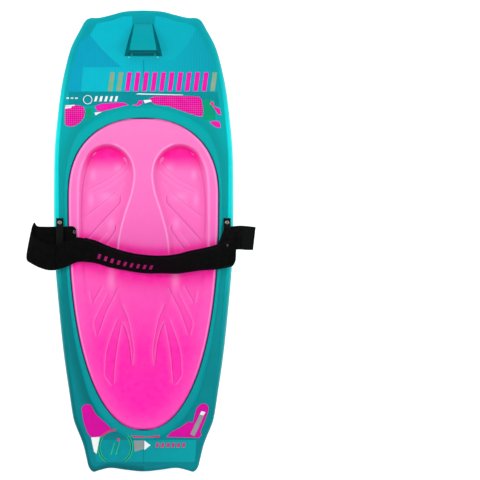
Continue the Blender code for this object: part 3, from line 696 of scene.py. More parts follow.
class Printer:
    """Lays flat shapes on the shell, each a thin sheet that follows its surface."""

    def __init__(self, *surfaces):
        self.trees = []
        for surface in surfaces:
            verts = [v.co.copy() for v in surface.data.vertices]
            self.trees.append(BVHTree.FromPolygons(verts, [tuple(p.vertices) for p in surface.data.polygons]))

    def height(self, x, y):
        hits = [tree.ray_cast(Vector((x, y, 1.0)), Vector((0, 0, -1)))[0] for tree in self.trees]
        return max((hit.z for hit in hits if hit is not None), default=float(deck_z(y)))

    def lay(self, name, ink, lift, *shapes, cell=0.008):
        """One piece from several outlines, this far above the surface, with a vertex in every cell."""
        work = bmesh.new()
        for outline in shapes:
            work.faces.new([work.verts.new((x, y, 0.0)) for x, y in mm(*outline)])
        work.normal_update()
        for face in work.faces:
            if face.normal.z < 0:
                face.normal_flip()
        bmesh.ops.triangulate(work, faces=[f for f in work.faces if len(f.verts) > 4])
        corners = np.array([v.co[:2] for v in work.verts])
        for axis, normal in enumerate(((1, 0, 0), (0, 1, 0))):
            low, high = corners[:, axis].min(), corners[:, axis].max()
            for cut in np.arange(math.floor(low / cell) + 1, math.ceil(high / cell)) * cell:
                geometry = [*work.verts, *work.edges, *work.faces]
                bmesh.ops.bisect_plane(work, geom=geometry, dist=1e-6, plane_co=Vector(normal) * cut,
                                       plane_no=normal)
        for vert in work.verts:
            vert.co.z = self.height(vert.co.x, vert.co.y) + lift * MM
        mesh = bpy.data.meshes.new(name)
        work.to_mesh(mesh)
        work.free()
        mesh.shade_smooth()
        mesh.materials.append(ink)
        made = link(bpy.data.objects.new(name, mesh))
        return made


def bar(x, y, width, height, slant=0.0):
    """A slanted bar by its lower left corner."""
    return [(x, y), (x + width, y), (x + width + slant, y + height), (x + slant, y + height)]


def ring_cells(x, y, radius, width, start=0, stop=360, steps=48):
    """Quads that make a ring, or a part of one."""
    angles = np.radians(np.linspace(start, stop, steps + 1))
    points = [(x + r * math.cos(a), y + r * math.sin(a)) for a in angles for r in (radius, radius + width)]
    return [[points[i], points[i + 1], points[i + 3], points[i + 2]] for i in range(0, 2 * steps, 2)]


def disc(x, y, radius, steps=16):
    turns = np.linspace(0, 2 * math.pi, steps + 1)[:-1]
    return [(x + radius * math.cos(turn), y + radius * math.sin(turn)) for turn in turns]


def emblem_arcs(radius, width):
    """The two sides of the round emblem, open at its top and at its bottom."""
    return ring_cells(*EMBLEM, radius, width, 141, 236, 36) + ring_cells(*EMBLEM, radius, width, 305, 404, 36)


def rounded(steps, *outline):
    """The outline with its corners eased."""
    closed = [outline[-1], *outline, outline[0], outline[1]]
    return [tuple(p) for p in through(closed, steps)[steps:-2 * steps]]


EMBLEM = (-77.5, -567.1)  # the middle of the ring at the tail, in millimetres
LINE_SPACING, DOT_SPACING = 0.0042, 0.0055


def make_inks():
    """The inks by name. Several share the bright teal-blue field's fine lines."""
    return {name: print_look(name, *colours, **more) for name, colours, more in (
        ("cyan", ((0, 0.455, 0.57), (0, 0.42, 0.53)), {"lines": True, "right": (0, 0.36, 0.44)}),
        ("blue", ((0, 0.295, 0.465), (0, 0.315, 0.485)), {"lines": True}),
        ("field", ((0, 0.44, 0.56), (0, 0.415, 0.525)), {"lines": True, "right": (0, 0.29, 0.385)}),
        ("magenta", ((0.9, 0.01, 0.42), (0.8, 0.004, 0.38)), {}),
        ("halftone", ((0.92, 0.01, 0.42), (0.92, 0.04, 0.4)), {"dots": True}),
        ("peach", ((0.3, 0.38, 0.28), (0.16, 0.42, 0.22)), {}),
        ("green", ((0, 0.37, 0.17), (0, 0.3, 0.19)), {}),
        ("emblem_green", ((0.03, 0.52, 0.22), (0.02, 0.42, 0.22)), {}),
        ("white", ((0.9, 0.92, 0.92), (0.75, 0.84, 0.84)), {}),
        # Also laid as painted shade at the hook's front fold
        ("dark_teal_and_shade", ((0, 0.255, 0.305), (0, 0.29, 0.33)), {}),
        # Also laid as painted shade in the hook's mouth
        ("seam_and_shade", ((0, 0.15, 0.185),), {}),
        # Painted highlights at the hook's back corners
        ("glint", ((0.3, 0.78, 0.78),), {}),
        ("tail_panel", ((0, 0.3, 0.345), (0, 0.25, 0.29)), {"right": (0, 0.355, 0.385)}),
        ("deep_magenta", ((0.7, 0.002, 0.355), (0.6, 0.002, 0.31)), {}),
        ("dull_pink", ((0.62, 0.05, 0.2), (0.5, 0.04, 0.18)), {}),
        ("grey", ((0.3, 0.33, 0.33), (0.24, 0.28, 0.28)), {}),
    )}


def make_prints(hull, hook):
    """Every outline here is in millimetres, and so is the height that a print lies above the shell."""
    ink = make_inks()
    on, on_hook = Printer(hull), Printer(hull, hook)
    field = [(-147, 568), (-127, 599), (-86, 607), (-59, 617.5), (-30, 619), (-30, 590), (30, 590),
             (34, 619), (57, 616), (90, 605), (128, 598), (147, 585), (167, 550), (186, 505), (197, 462),
             (205, 413), (-209, 413), (-199, 475), (-177, 545)]
    left_facet = [(-147, 568), (-127, 599), (-86, 607), (-59, 617.5), (-30, 619), (-30, 560), (-60, 501),
                  (-83, 499), (-116, 531)]
    left_shade = [(-177, 545), (-147, 568), (-116, 531), (-83, 499), (-60, 480), (-166, 480), (-172, 413),
                  (-209, 413), (-199, 475)]
    right_facet = [(30, 560), (34, 619), (57, 616), (90, 605), (128, 598), (147, 585), (120, 540),
                   (83, 499), (58, 500)]
    light_panel = [(-166, 480), (-110, 470), (-80, 440), (-58, 413), (-171, 413)]
    band = [(-205, 412), (205, 412), (210, 372), (60, 376), (-70, 376), (-206, 372)]
    # A row of plain slanted bars, pale at its ends and magenta in its middle
    bars = [bar(-98 + 23.5 * step, 414, 12.5, 52, 7) for step in range(13)]
    right_band = rounded(2, (16, 387), (33, 400), (138, 400), (157, 395), (162, 381), (163.5, 345),
                         (138, 349), (101, 361), (67, 373), (33, 377))
    left_band = [(-134, 372), (-116, 379.5), (-55, 383), (-40, 376), (-55, 373), (-114, 358), (-128, 360)]
    ribbon = [(-31, 376), (-18, 378), (-12, 389), (-1, 386), (-4, 378), (-18, 373.5)]
    left_blob = rounded(2, (-216, 371), (-166, 372), (-164, 341), (-189, 318), (-216, 322))
    green_blocks = [bar(-161, 339, 16, 28, 4), bar(167, 335, 32, 56, -4)]
    right_spots = [rounded(2, (182, 329), (208, 331), (212, 313), (196, 317)),
                   [(183.5, 379), (189, 386), (194.5, 381), (194, 373.5), (201, 369), (211, 365), (214, 348),
                    (206, 350), (196, 365), (190, 375)]]
    ticks = [bar(x, 393, 7, 3.5) for x in (-212, -200, -188)]
    small_bars = [bar(x, 385.5, 6.5, 14.5, 4) for x in (-136, -122, -108, -94, -80)]
    line = [(-21, 405), (-14, 407.8), (109, 404.5), (109, 402.8), (-4, 404.5)]
    gleam = [(0, 389), (18, 390.5), (24, 386), (4, 380.5)]
    corner = [(-135, 355), (-114, 357), (-132, 347)]
    strokes = [[(-215, 375), (-190, 376.5), (-189, 373.5), (-215.5, 371.5)],
               [(-215.5, 370.5), (-196.5, 372.5), (-200, 367.5), (-216, 365.5)]]
    ring = ring_cells(-153.4, 390.4, 10.8, 1.8)
    hook_corners = [[(s * 38.5, 505.5), (s * 42, 505.5), (s * 41, 508.5), (s * 38, 508.5)] for s in (1, -1)]

    # Tail
    tail_panel = [(-141, -547.3), (146, -547.3), (142, -607.3), (-129, -607.3)]
    left_patch = rounded(3, (-170.5, -461.3), (-159, -449.3), (-145, -452.3), (-130, -477.3), (-90, -515.3),
                         (-104, -529.3), (-119, -538.3), (-147, -537.3), (-165, -497.3))
    right_patch = rounded(2, (63, -538.8), (104, -511.3), (126, -496.8), (136, -499.3), (143, -472.3),
                          (150, -455.3), (164, -446.8), (178, -453.3), (178, -470.3), (164, -507.3),
                          (157, -524.3), (153, -541.3))
    dashes = [[(-35, -534.8), (5, -536.8), (5, -540.8), (-26, -540.8)],
              [(10, -540.8), (45, -540.3), (45, -534.3), (10, -537.3)]]
    row = [bar(x, -567.5, 8.5, 12, 3) for x in np.arange(33, 117, 14.5)]
    tail_white = [[(-144.5, -540.3), (-120, -538.8), (-129, -585.3), (-136, -579.3)],
                  [(2.5, -548.8), (20, -561.8), (2.5, -574.8)],
                  [(159.6, -468.1), (171.1, -471), (165.5, -480), (155.3, -477.6)]]
    label = [[(159.6, -468.1), (171.1, -471), (140.9, -537.3), (129.3, -531.5)],
             [(-26.4, -548.8), (1, -548.8), (1, -572.3), (-24, -579.1)]]
    rings = emblem_arcs(46.4, 2.6) + emblem_arcs(41.2, 2.2)
    emblem_bars = [bar(x, -588, 3, 34, 10) for x in (-91, -77)]
    emblem_arc = [*ring_cells(*EMBLEM, 44, 6, 88, 138, 20), disc(-68.8, -546.3, 4.2)]
    prints = (  # laid on what, name, ink, height above the shell, outlines
        (on, "field", "field", 0.15, [field]),
        (on, "facets", "cyan", 0.25, [left_facet, right_facet, light_panel]),
        (on, "left_shade", "blue", 0.25, [left_shade]),
        (on, "dark_band", "dark_teal_and_shade", 0.15, [band]),
        (on, "pale_bars", "peach", 0.4, bars[:2] + bars[-1:]),
        (on, "bars", "magenta", 0.4, bars[2:-1]),
        (on, "right_band", "halftone", 0.3, [right_band]),
        (on, "left_ribbons", "magenta", 0.3, [left_band, ribbon]),
        (on, "left_blob", "halftone", 0.3, [left_blob]),
        (on, "green", "green", 0.25, green_blocks),
        (on, "right_spots", "magenta", 0.3, right_spots),
        (on, "white", "white", 0.5, [*ticks, *small_bars, line, gleam, corner, *strokes, *ring]),
        (on, "seams", "seam_and_shade", 0.4, [bar(0, 413.5, 1.1, 86), bar(0, -613, 1.1, 64)]),
        # The hook's painted shade in its mouth and at its front fold, and a painted highlight at each back
        # corner
        (on_hook, "hook_mouth_shade", "seam_and_shade", 0.4, [bar(-29, 511, 58, 7.2)]),
        (on_hook, "hook_front_shade", "dark_teal_and_shade", 0.4, [bar(-21, 597, 42, 4.5)]),
        (on, "hook_glints", "glint", 0.4, hook_corners),
        (on, "tail_panel", "tail_panel", 0.2, [tail_panel]),
        (on, "tail_patches", "deep_magenta", 0.3, [left_patch, right_patch]),
        (on, "tail_dashes", "dull_pink", 0.4, [*dashes, *row]),
        (on, "tail_white", "white", 0.6, tail_white),
        (on, "tail_silver", "grey", 0.5, label),
        (on, "emblem_gap", "seam_and_shade", 0.4, emblem_arcs(43.2, 3.5)),
        (on, "emblem_ring", "emblem_green", 0.5, rings + emblem_bars),
        (on, "emblem_arc", "dull_pink", 0.5, emblem_arc),
    )
    return [printer.lay(f"print_{name}", ink[colour], lift, *shapes)
            for printer, name, colour, lift, shapes in prints]

# The knee pad


CREASES = (  # lines pressed into the pad's right half: depth, height of the step beside it, darkness of the painted shade along it, points
    (0.9, 1, 0.3, (44.2, 222.1), (68.1, 195.2), (97.9, 171.3), (154.7, 141.5)),
    (0.6, 0.8, 0.1, (44.2, 198.2), (68.1, 174.3), (103.9, 150.4), (145.7, 132.5)),
    (0.7, 0.9, 0.12, (50.2, 168.4), (86, 135.5), (127.8, 102.7)),
    (0.9, 1.2, 0.42, (62.1, 150.4), (94.9, 120.6), (127.8, 93.7), (163.6, 66.8)),
    (1.2, 1.6, 0.8, (63.6, 126.6), (64.5, 111), (68.1, 102.7), (112.9, 54.9), (166.6, -4.8)),
    (1.2, 1.4, 0.85, (77, 45.9), (80, 26.5), (115.8, -22.7)),
    (0.7, 0.8, 0.15, (100.9, 28), (130.8, -10.8)),
    (0.8, 1.2, 0.45, (61.7, -169.5), (42.9, -215.8), (30.5, -282.5), (28.4, -308.6), (32, -343.3)),
    (1, 1, 0.75, (60, -221.6), (49.8, -241.9), (39.7, -279.6), (35.4, -311.5), (33.5, -343.3)),
    (0.9, 1, 0.6, (60.3, -218.7), (69, -265.1), (77.7, -323.1), (83.5, -398.4)),
    (0.8, 1, 0.4, (83.5, -398.4), (102.3, -372.3), (103.7, -352), (100.9, -308.6), (89.3, -265.1),
     (66.1, -204.2)),
    (0.9, 1.2, 0.6, (70.4, -126), (84.9, -157.9), (103.7, -195.5), (126.9, -262.2)),
    (0.8, 1, 0.35, (126.9, -262.2), (134.2, -230.3), (132.7, -218.7), (121.1, -192.7), (92.2, -134.7)),
    (0.9, 1.2, 0.6, (113, -120.2), (140, -169)),
    (0.7, 0.9, 0.35, (140, -169), (146.2, -135)),
)
CREASE_WIDTH, CREASE_SHADE_WIDTH, STEP_REACH = 0.0018, 0.0013, 0.02
CREST_AT, CREST_WIDTH = 0.0026, 0.0018  # the painted highlight along the raised side of a crease
INNER_LIP_HEIGHT, OUTER_LIP_HEIGHT = 0.0014, 0.0008
INNER_LIP_WIDTH, INNER_LIP_LIGHT_WIDTH, OUTER_LIP_WIDTH, OUTER_FOOT_WIDTH = 0.003, 0.0022, 0.0035, 0.0012
PAD_WELL_WALL = 0.016  # steeper than the wall of the well in the bed
GLINTS = mm(  # painted highlights, soft light spots on the floor of the right well: x, y, how long they are along x and y
    (69, 203, 12, 14), (139, 183, 7, 14), (90, 50, 10, 16), (145, 115, 8, 18), (100, 123, 22, 12),
    (88, -105, 12, 30),
)
# The lips are raised, and a highlight is painted along each
INNER_LIP = mm(
    (90, 270.5), (74.5, 265), (50, 249), (32.5, 224), (25.5, 197), (25, 170), (32.5, 130), (47, 86),
    (61, 36), (69, -10), (70.5, -50),
)
OUTER_LIP = mm(
    (150, 248), (172, 205), (179.5, 155), (180.5, 80), (180, 0), (177, -60),
)
# Where shade is painted along the foot of the right well's outer wall
OUTER_FOOT = mm(
    (127.8, 240), (148.7, 222.1), (160.6, 186.3), (169, 135.5), (170.5, 60.9), (166.6, -7.8),
)
PAD_ROWS, PAD_COLUMNS, UNDERSIDE_COLUMNS = 540, 260, 11
EDGE_ROLL_HEIGHT, EDGE_ROLL_WIDTH = 0.0052, 0.006
STRAP_SHADE_FROM, STRAP_SHADE_FRONT, STRAP_SHADE_BEHIND = 0.034, 0.016, 0.03


def along_line(x, y, points, width):
    """1 on a line of points, falling to 0 beside it and towards its ends."""
    distance, _, along = to_line(np.abs(x), y, through(points, 6))
    return ridge(distance, width) * smooth(0.0, 0.12, along) * smooth(1.0, 0.85, along)


def pad_relief(x, y):
    """The height of the pressed lines and lips, with the highlights and the shade painted on the foam there."""
    height, light, dark = np.zeros(x.shape), np.zeros(x.shape), np.zeros(x.shape)
    for depth, step, darkness, *points in CREASES:
        distance, side, along = to_line(np.abs(x), y, through(mm(*points), 6))
        ends = smooth(0.0, 0.05, along) * smooth(1.0, 0.94, along)
        beside = np.where(side > 0, np.clip(1 - distance / STEP_REACH, 0, 1) ** 2, 0.0)
        height += MM * (step * beside - depth * ridge(distance, CREASE_WIDTH)) * ends
        # Painted highlight on the raised side of each step and along its crest; painted shade in the crease
        # itself
        strip = 0.26 * ridge(distance - CREST_AT, CREST_WIDTH) * (side > 0)
        light = np.maximum(light, np.maximum(0.13 * beside * smooth(0.0, 0.004, distance), strip) * ends)
        dark = np.maximum(dark, darkness * ridge(distance, CREASE_SHADE_WIDTH) * ends)
    for spot_x, spot_y, wide, long in GLINTS:
        light = np.maximum(light, 0.38 * ridge(np.abs(x) - spot_x, wide) * ridge(y - spot_y, long))
    outer = along_line(x, y, OUTER_LIP, OUTER_LIP_WIDTH)
    height += INNER_LIP_HEIGHT * along_line(x, y, INNER_LIP, INNER_LIP_WIDTH) + OUTER_LIP_HEIGHT * outer
    # Painted highlights along both lips, and painted shade along the foot of the outer wall
    inner_light = 0.85 * along_line(x, y, INNER_LIP, INNER_LIP_LIGHT_WIDTH)
    light = np.maximum(light, np.maximum(inner_light, 0.45 * outer))
    dark = np.maximum(dark, 0.5 * along_line(x, y, OUTER_FOOT, OUTER_FOOT_WIDTH))
    return height, light, dark


def pad_rows():
    """The y of each row of the pad's top, and the half width there."""
    turn = np.linspace(0, math.pi, PAD_ROWS)
    middle, reach = (PAD_NOSE + PAD_TAIL) / 2, (PAD_NOSE - PAD_TAIL) / 2 - PAD_GAP
    y = np.unique(np.round(middle + reach * np.sin(math.pi / 2 * np.sin(-(turn - math.pi / 2))), 7))
    return y, np.maximum(pad_half_width(y) - PAD_GAP, 0.0004)


def from_edge(x, y):
    """How far inside the edge of the pad each x and y is."""
    places = np.linspace(PAD_TAIL, PAD_NOSE, 400)
    edge = evenly(through(np.stack([pad_half_width(places), places], axis=1), 1), 0.004)
    return np.maximum(0.0, to_line(np.abs(x), y, edge)[0] - PAD_GAP)


def strap_shade(x, y):
    """The strap's painted shadow: how much deeper pink is painted on the foam in front of the strap and behind
    it.
    """
    ahead = y - np.interp(x, *STRAP_ROUTE[:, :2].T)
    front = 0.8 * ridge(np.maximum(0, ahead - STRAP_SHADE_FROM), STRAP_SHADE_FRONT) * (ahead > 0)
    behind = 0.85 * ridge(np.maximum(0, -ahead - STRAP_SHADE_FROM), STRAP_SHADE_BEHIND) * (ahead <= 0)
    return np.maximum(front, behind)


def make_pad():
    row_y, half = pad_rows()
    rows, across = len(row_y), np.linspace(-1, 1, PAD_COLUMNS)
    x = half[:, None] * (np.sin(across * math.pi / 2) * 0.35 + across * 0.65)
    y = np.broadcast_to(row_y[:, None], x.shape)
    distance = from_edge(x, y)
    roll = EDGE_ROLL_HEIGHT * (1 - np.sqrt(1 - np.clip(1 - distance / EDGE_ROLL_WIDTH, 0, 1) ** 2))
    height, light, dark = pad_relief(x, y)
    z = pad_top_z(x, y, PAD_WELL_WALL) + height * smooth(0.004, 0.02, distance) - roll
    top = np.stack([x, y, z], axis=2).reshape(-1, 3)
    # Painted shade on the steep fronts of the knee wells
    painted_shade = smooth(-0.002, 0.012, well_reach(x, y)) * smooth(0.182, 0.24, y)
    # A painted highlight along the pad's sides near its edge, and the foam painted lighter near its edge
    # towards the tail
    edge_highlight = 0.6 * ridge(distance - 0.0045, 0.0022) * smooth(0.1, 0.17, np.abs(x))
    lower_glow = 0.13 * ridge(distance, 0.035) * smooth(-0.1, -0.25, y)
    light = np.maximum(light * (1 - 0.7 * painted_shade), np.maximum(edge_highlight, lower_glow))

    # Underside: fewer columns, joined to the top along the pad's edge
    under_x = half[:, None] * np.linspace(-1, 1, UNDERSIDE_COLUMNS)
    under_y = np.broadcast_to(row_y[:, None], under_x.shape)
    under = np.stack([under_x, under_y, bed_z(under_x, under_y) + GAP], axis=2).reshape(-1, 3)
    faces = grid_faces(rows, PAD_COLUMNS)
    first, wide = len(top), UNDERSIDE_COLUMNS
    faces += [tuple(reversed(face)) for face in grid_faces(rows, wide, first=first)]
    for row in range(rows - 1):
        for upper, lower in ((0, 0), (PAD_COLUMNS - 1, wide - 1)):
            a, b = row * PAD_COLUMNS + upper, (row + 1) * PAD_COLUMNS + upper
            c, d = first + (row + 1) * wide + lower, first + row * wide + lower
            faces.append((b, a, d, c) if upper == 0 else (a, b, c, d))
    for row in (0, rows - 1):
        upper = [row * PAD_COLUMNS + c for c in range(PAD_COLUMNS)]
        lower = [first + row * wide + c for c in range(wide)]
        faces.append(tuple(upper + lower[::-1]) if row == 0 else tuple(upper[::-1] + lower))
    pad = mesh_object("knee_pad_foam", np.vstack([top, under]), faces, pad_look())
    # Painted shade of the wells' fronts and the strap's shadow, painted highlights, and painted shade in the
    # creases
    painted = {"painted_shade": np.maximum(0.95 * painted_shade, strap_shade(x, y)), "light": light, "line": dark}
    for name, values in painted.items():
        set_attribute(pad, name, np.concatenate([values.ravel(), np.zeros(len(under))]))
    tidy_mesh(pad, merge=False)
    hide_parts("knee_pad")
    return pad


# The strap


def strap_at(x):
    """The strap's route at this x: its middle, and the unit vector to its front edge."""
    fine = through(STRAP_ROUTE, 12)
    y, z, tilt = (np.interp(x, fine[:, 0], fine[:, k]) for k in (1, 2, 3))
    angle = math.radians(tilt)
    return Vector((x, y, z)), Vector((0.0, math.cos(angle), math.sin(angle)))


def strap_normal(x):
    along = strap_at(x + 0.003)[0] - strap_at(x - 0.003)[0]
    return along.cross(strap_at(x)[1]).normalized()


def route(start, stop, side=0.0, spacing=0.004):
    """Stations of the strap between two places: middle, unit vector across, half width."""
    count = max(2, int(round(abs(stop - start) / spacing)))
    return [(strap_at(x)[0] + strap_normal(x) * side, strap_at(x)[1], STRAP_HALF_WIDTH)
            for x in np.linspace(start, stop, count + 1)]


def strap_bar(x, width=0.0075, front=0.04, back=-0.46, slant=0.005):
    """Corners of a slanted bar printed on the strap: a row in front, one in the middle and one behind."""
    rows = []
    for share in (front, (front + back) / 2, back):
        lean = slant * (share - back) / (front - back)
        pair = []
        for place in (x + lean, x + lean + width):
            middle, across = strap_at(place)
            lift = strap_normal(place) * (WEBBING / 2 + INK_LIFT)
            pair.append(middle + across * (STRAP_HALF_WIDTH * share) + lift)
        rows += pair if not rows else pair[::-1]
    return rows


def course(spacing, rows, before=()):
    """A smooth run through stations that lie flat. Each row is x, y, z and half width in millimetres, then
    the turn about z and the tilt of the front edge, in degrees."""
    stations = [[*middle, *across, half] for middle, across, half in before]
    for row in rows:
        yaw, tilt = np.radians((*row[4:], 0, 0)[:2])
        across = Vector((-math.sin(yaw), math.cos(yaw), math.sin(tilt))).normalized()
        place = mm(*row[:4])
        stations.append([*place[:3], *across, place[3]])
    fine = evenly(through(stations, 8), spacing)
    return [(Vector(row[:3]), Vector(row[3:6]).normalized(), row[6]) for row in fine]


def band_profile(columns=18):
    """The section of a band with rounded edges: shares of its half width and of its half thickness."""
    profile = []
    for side in (1, -1):
        for step in range(columns + 1):
            u = side * math.cos(math.pi * step / columns)
            flat_u = math.copysign(abs(u) ** 0.8, u)
            profile.append((flat_u, side * (0.3 + 0.7 * math.sqrt(max(0.0, 1 - abs(flat_u) ** 14)))))
    return profile


def band(name, stations, thick, material, wave=0.0, start=0.0):
    """A band of cloth through stations, with its weave's place stored on it. The place along it is counted
    from start at its first station."""
    middles = [s[0] for s in stations]
    profile = band_profile()
    verts, weave, along = [], [], start
    for index, (middle, across, half) in enumerate(stations):
        before, after = middles[max(0, index - 1)], middles[min(len(middles) - 1, index + 1)]
        up = (after - before).cross(across).normalized()
        along += (middle - middles[index - 1]).length if index else 0.0
        for u, v in profile:
            lift = wave * math.sin(3.1 * u + 61 * along) * (0.3 + 0.7 * u * u)
            verts.append(middle + across * (half * u) + up * (thick / 2 * v + lift))
            weave.append((half * u, along, v))
    rings, count = len(stations), len(profile)
    faces = grid_faces(rings, count, closed=True)
    faces += [tuple(reversed(range(count))), tuple((rings - 1) * count + c for c in range(count))]
    made = mesh_object(name, verts, faces, material)
    set_attribute(made, "weave", weave, "FLOAT_VECTOR")
    return tidy_mesh(made, merge=False)


def stitches(name, stations, offset, material, stop, side=1):
    """Thread stitches, offset by this share of a band's half width, up to this share of its length."""
    verts, faces = [], []
    walked, due = 0.0, 0.0
    for index in range(int(stop * (len(stations) - 1))):
        (middle, across, half), (after, after_across, _) = stations[index], stations[index + 1]
        step = (after - middle).length
        along = (after - middle).normalized()
        up = along.cross(across).normalized() * side
        while due <= walked + step:
            share = (due - walked) / step
            centre = middle.lerp(after, share) + across.lerp(after_across, share) * (half * offset) \
                + up * (WEBBING / 2 + THREAD_LIFT)
            faces += grid_faces(4, 3, first=len(verts))
            for t in (-1, -0.5, 0.5, 1):
                lift = STITCH_HEIGHT * (1 - t * t)
                for w in (-1, 0, 1):
                    verts.append(centre + along * (t * STITCH_LENGTH / 2) + across * (w * STITCH_WIDTH / 2)
                                 + up * (lift * (1 if w == 0 else 0.3)))
            due += STITCH_SPACING
        walked += step
    return mesh_object(name, verts, faces, material)


LEFT_LOOP = (  # out past the left bracket, round, and back under its bar to the rounded tab
    (-264, -42.5, 95, 37.5, -2, 14), (-284, -35, 94.5, 37, -6, 8), (-303, -25, 93.5, 36, -10, 3),
    (-313.5, -16, 88.5, 36, -11.5), (-313.5, 4, 82, 36, -11.5), (-306, 16.5, 76.5, 36, -9),
    (-293, 6, 74.5, 36.2, -2), (-270, 4, 74.2, 36.7), (-243, 4.2, 74.5, 36.5), (-222, 4, 75.2, 36.5),
    (-208, 4.5, 78.2, 37), (-195, 5, 79.5, 36.5), (-187.5, 4.5, 79.9, 32.5), (-184.5, 3.5, 80, 27),
)
RIGHT_END = (
    (246.5, -31.5, 90.5, 36.5, -1, 5), (252.5, -28.5, 90, 32, -2, 4), (255.5, -25, 89.7, 26.5, -2, 4),
)
TAIL_COURSE = (  # from under the strap's right end, back through the bracket, and out to the free end
    (249, -6, 87.8, 33, -4, 4), (238, 0, 86.2, 33, -11, 2), (226, 4.5, 85, 33, -18),
    (216.5, 5.5, 84.8, 33, -21), (212.1, 6.5, 80.2, 33, -22), (216.5, 7, 75.7, 33, -19),
    (226, 7.5, 75, 33, -10), (243, 8.8, 74.5, 33, -4), (266, 10.5, 74.5, 33, -4), (286, 9, 74.5, 33, -6),
    (305.8, 7.7, 74.5, 32, -6.5),
)
PATCH_COURSE = ((272, 10, 76.4, 29, -4.5), (286, 9, 76.4, 28.5, -6), (302, 8, 76.4, 28, -6.5))
WAVE, INK_LIFT, THREAD_LIFT = 0.0005, 0.0009, 0.0001
STITCH_SPACING, STITCH_LENGTH, STITCH_WIDTH, STITCH_HEIGHT = 0.0042, 0.0028, 0.0007, 0.00045


def make_strap_print():
    """Nine slanted bars, for the name that such a strap carries."""
    marks = [strap_bar(-0.126 + 0.0178 * step) for step in range(9)]
    faces = [tuple(6 * mark + corner for corner in quad)
             for mark in range(len(marks)) for quad in ((0, 1, 2, 3), (3, 2, 4, 5))]
    ink = print_look("strap", (0.42, 0.014, 0.165), (0.3, 0.01, 0.12))
    return mesh_object("print_strap", np.concatenate(marks), faces, ink)


def make_strap():
    webbing = webbing_look("webbing", BLACK)
    neoprene = neoprene_look()
    thread = moulded_look("thread", STITCH_GREY, 0.5, 0.7)
    under = -(WEBBING + PADDING) / 2 - GAP

    over = route(STRAP_MIDDLE, -0.245)
    loop = course(0.003, LEFT_LOOP, [route(-0.236, -0.245)[0], over[-1]])
    left_run = (over + loop[4:])[::-1]
    left_length = sum((b[0] - a[0]).length for a, b in zip(left_run, left_run[1:]))
    right_run = route(STRAP_MIDDLE, 0.24)
    right_run += course(0.002, RIGHT_END, right_run[-1:])[1:]
    left = band("strap_left", left_run, WEBBING, webbing, WAVE, -left_length)
    right = band("strap_right", right_run, WEBBING, webbing, WAVE)
    strap_print = make_strap_print()
    left_pad = band("strap_padding_left", route(PADDING_FROM, STRAP_MIDDLE, under), PADDING, neoprene)
    right_pad = band("strap_padding_right", route(STRAP_MIDDLE, PADDING_TO, under), PADDING, neoprene)
    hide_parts("strap_webbing", "left_strap_loop")
    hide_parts("strap_webbing", "right_strap_end")
    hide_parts("strap_padding", "left_padding_end")
    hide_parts("strap_padding", "right_padding_end")
    rows = [stitches(f"stitching_{name}_{index}", run, offset, thread, stop, side)
            for index, offset in enumerate((-0.88, 0.88))
            for name, run, stop, side in (("left", over, 0.72, -1), ("right", right_run, 0.8, 1))]
    for piece in (left, left_pad, right, right_pad, strap_print, *rows):
        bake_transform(piece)


def make_tail():
    """The hook-and-loop tail, sewn to the strap's right end, and the pile patch on it."""
    tail = band("tail_webbing", course(0.0025, TAIL_COURSE), WEBBING, webbing_look("tail_webbing", GREY))
    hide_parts("right_anchor_loop", "lock_flap")
    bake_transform(tail)
    patch = band("lock_flap_pile", course(0.003, PATCH_COURSE), PILE, loop_pile_look())
    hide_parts("lock_flap_patch")
    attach(patch, "strap_tail")


# Brackets and screws


def bracket_points():
    """The bar seen from the side: y and z over the deck, with its bends eased."""
    foot, low, high = BRACKET_THICKNESS, SLOT_HEIGHT, SLOT_HEIGHT + BRACKET_THICKNESS
    half = [(BRACKET_HALF_LENGTH, 0), (BRACKET_HALF_LENGTH, foot), (SLOT_HALF_LENGTH + 0.0045, foot),
            (SLOT_HALF_LENGTH + 0.0005, high)]
    under = [(SLOT_HALF_LENGTH - 0.0005, low), (SLOT_HALF_LENGTH, 0)]
    return [*half, *[(-y, z) for y, z in reversed(half)], *[(-y, z) for y, z in reversed(under)], *under]


def make_bracket(side, x, material):
    outline = bracket_points()
    count = len(outline)
    verts = [(x + edge * BRACKET_WIDTH / 2, y, THICKNESS + GAP + z) for edge in (-1, 1) for y, z in outline]
    faces = [tuple(range(count)), tuple(reversed(range(count, 2 * count)))]
    faces += [(c, (c + 1) % count, count + (c + 1) % count, count + c) for c in range(count)]
    bracket = tidy_mesh(mesh_object(f"{side}_bracket_bar", verts, faces, smooth_shaded=False))
    bevel(bracket, BRACKET_BEVEL, 20, material)
    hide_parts(f"{side}_bracket")
    return bracket


def circle(x, y, z, radius, steps):
    turns = [2 * math.pi * step / steps for step in range(steps)]
    return [(x + radius * math.cos(turn), y + radius * math.sin(turn), z) for turn in turns]


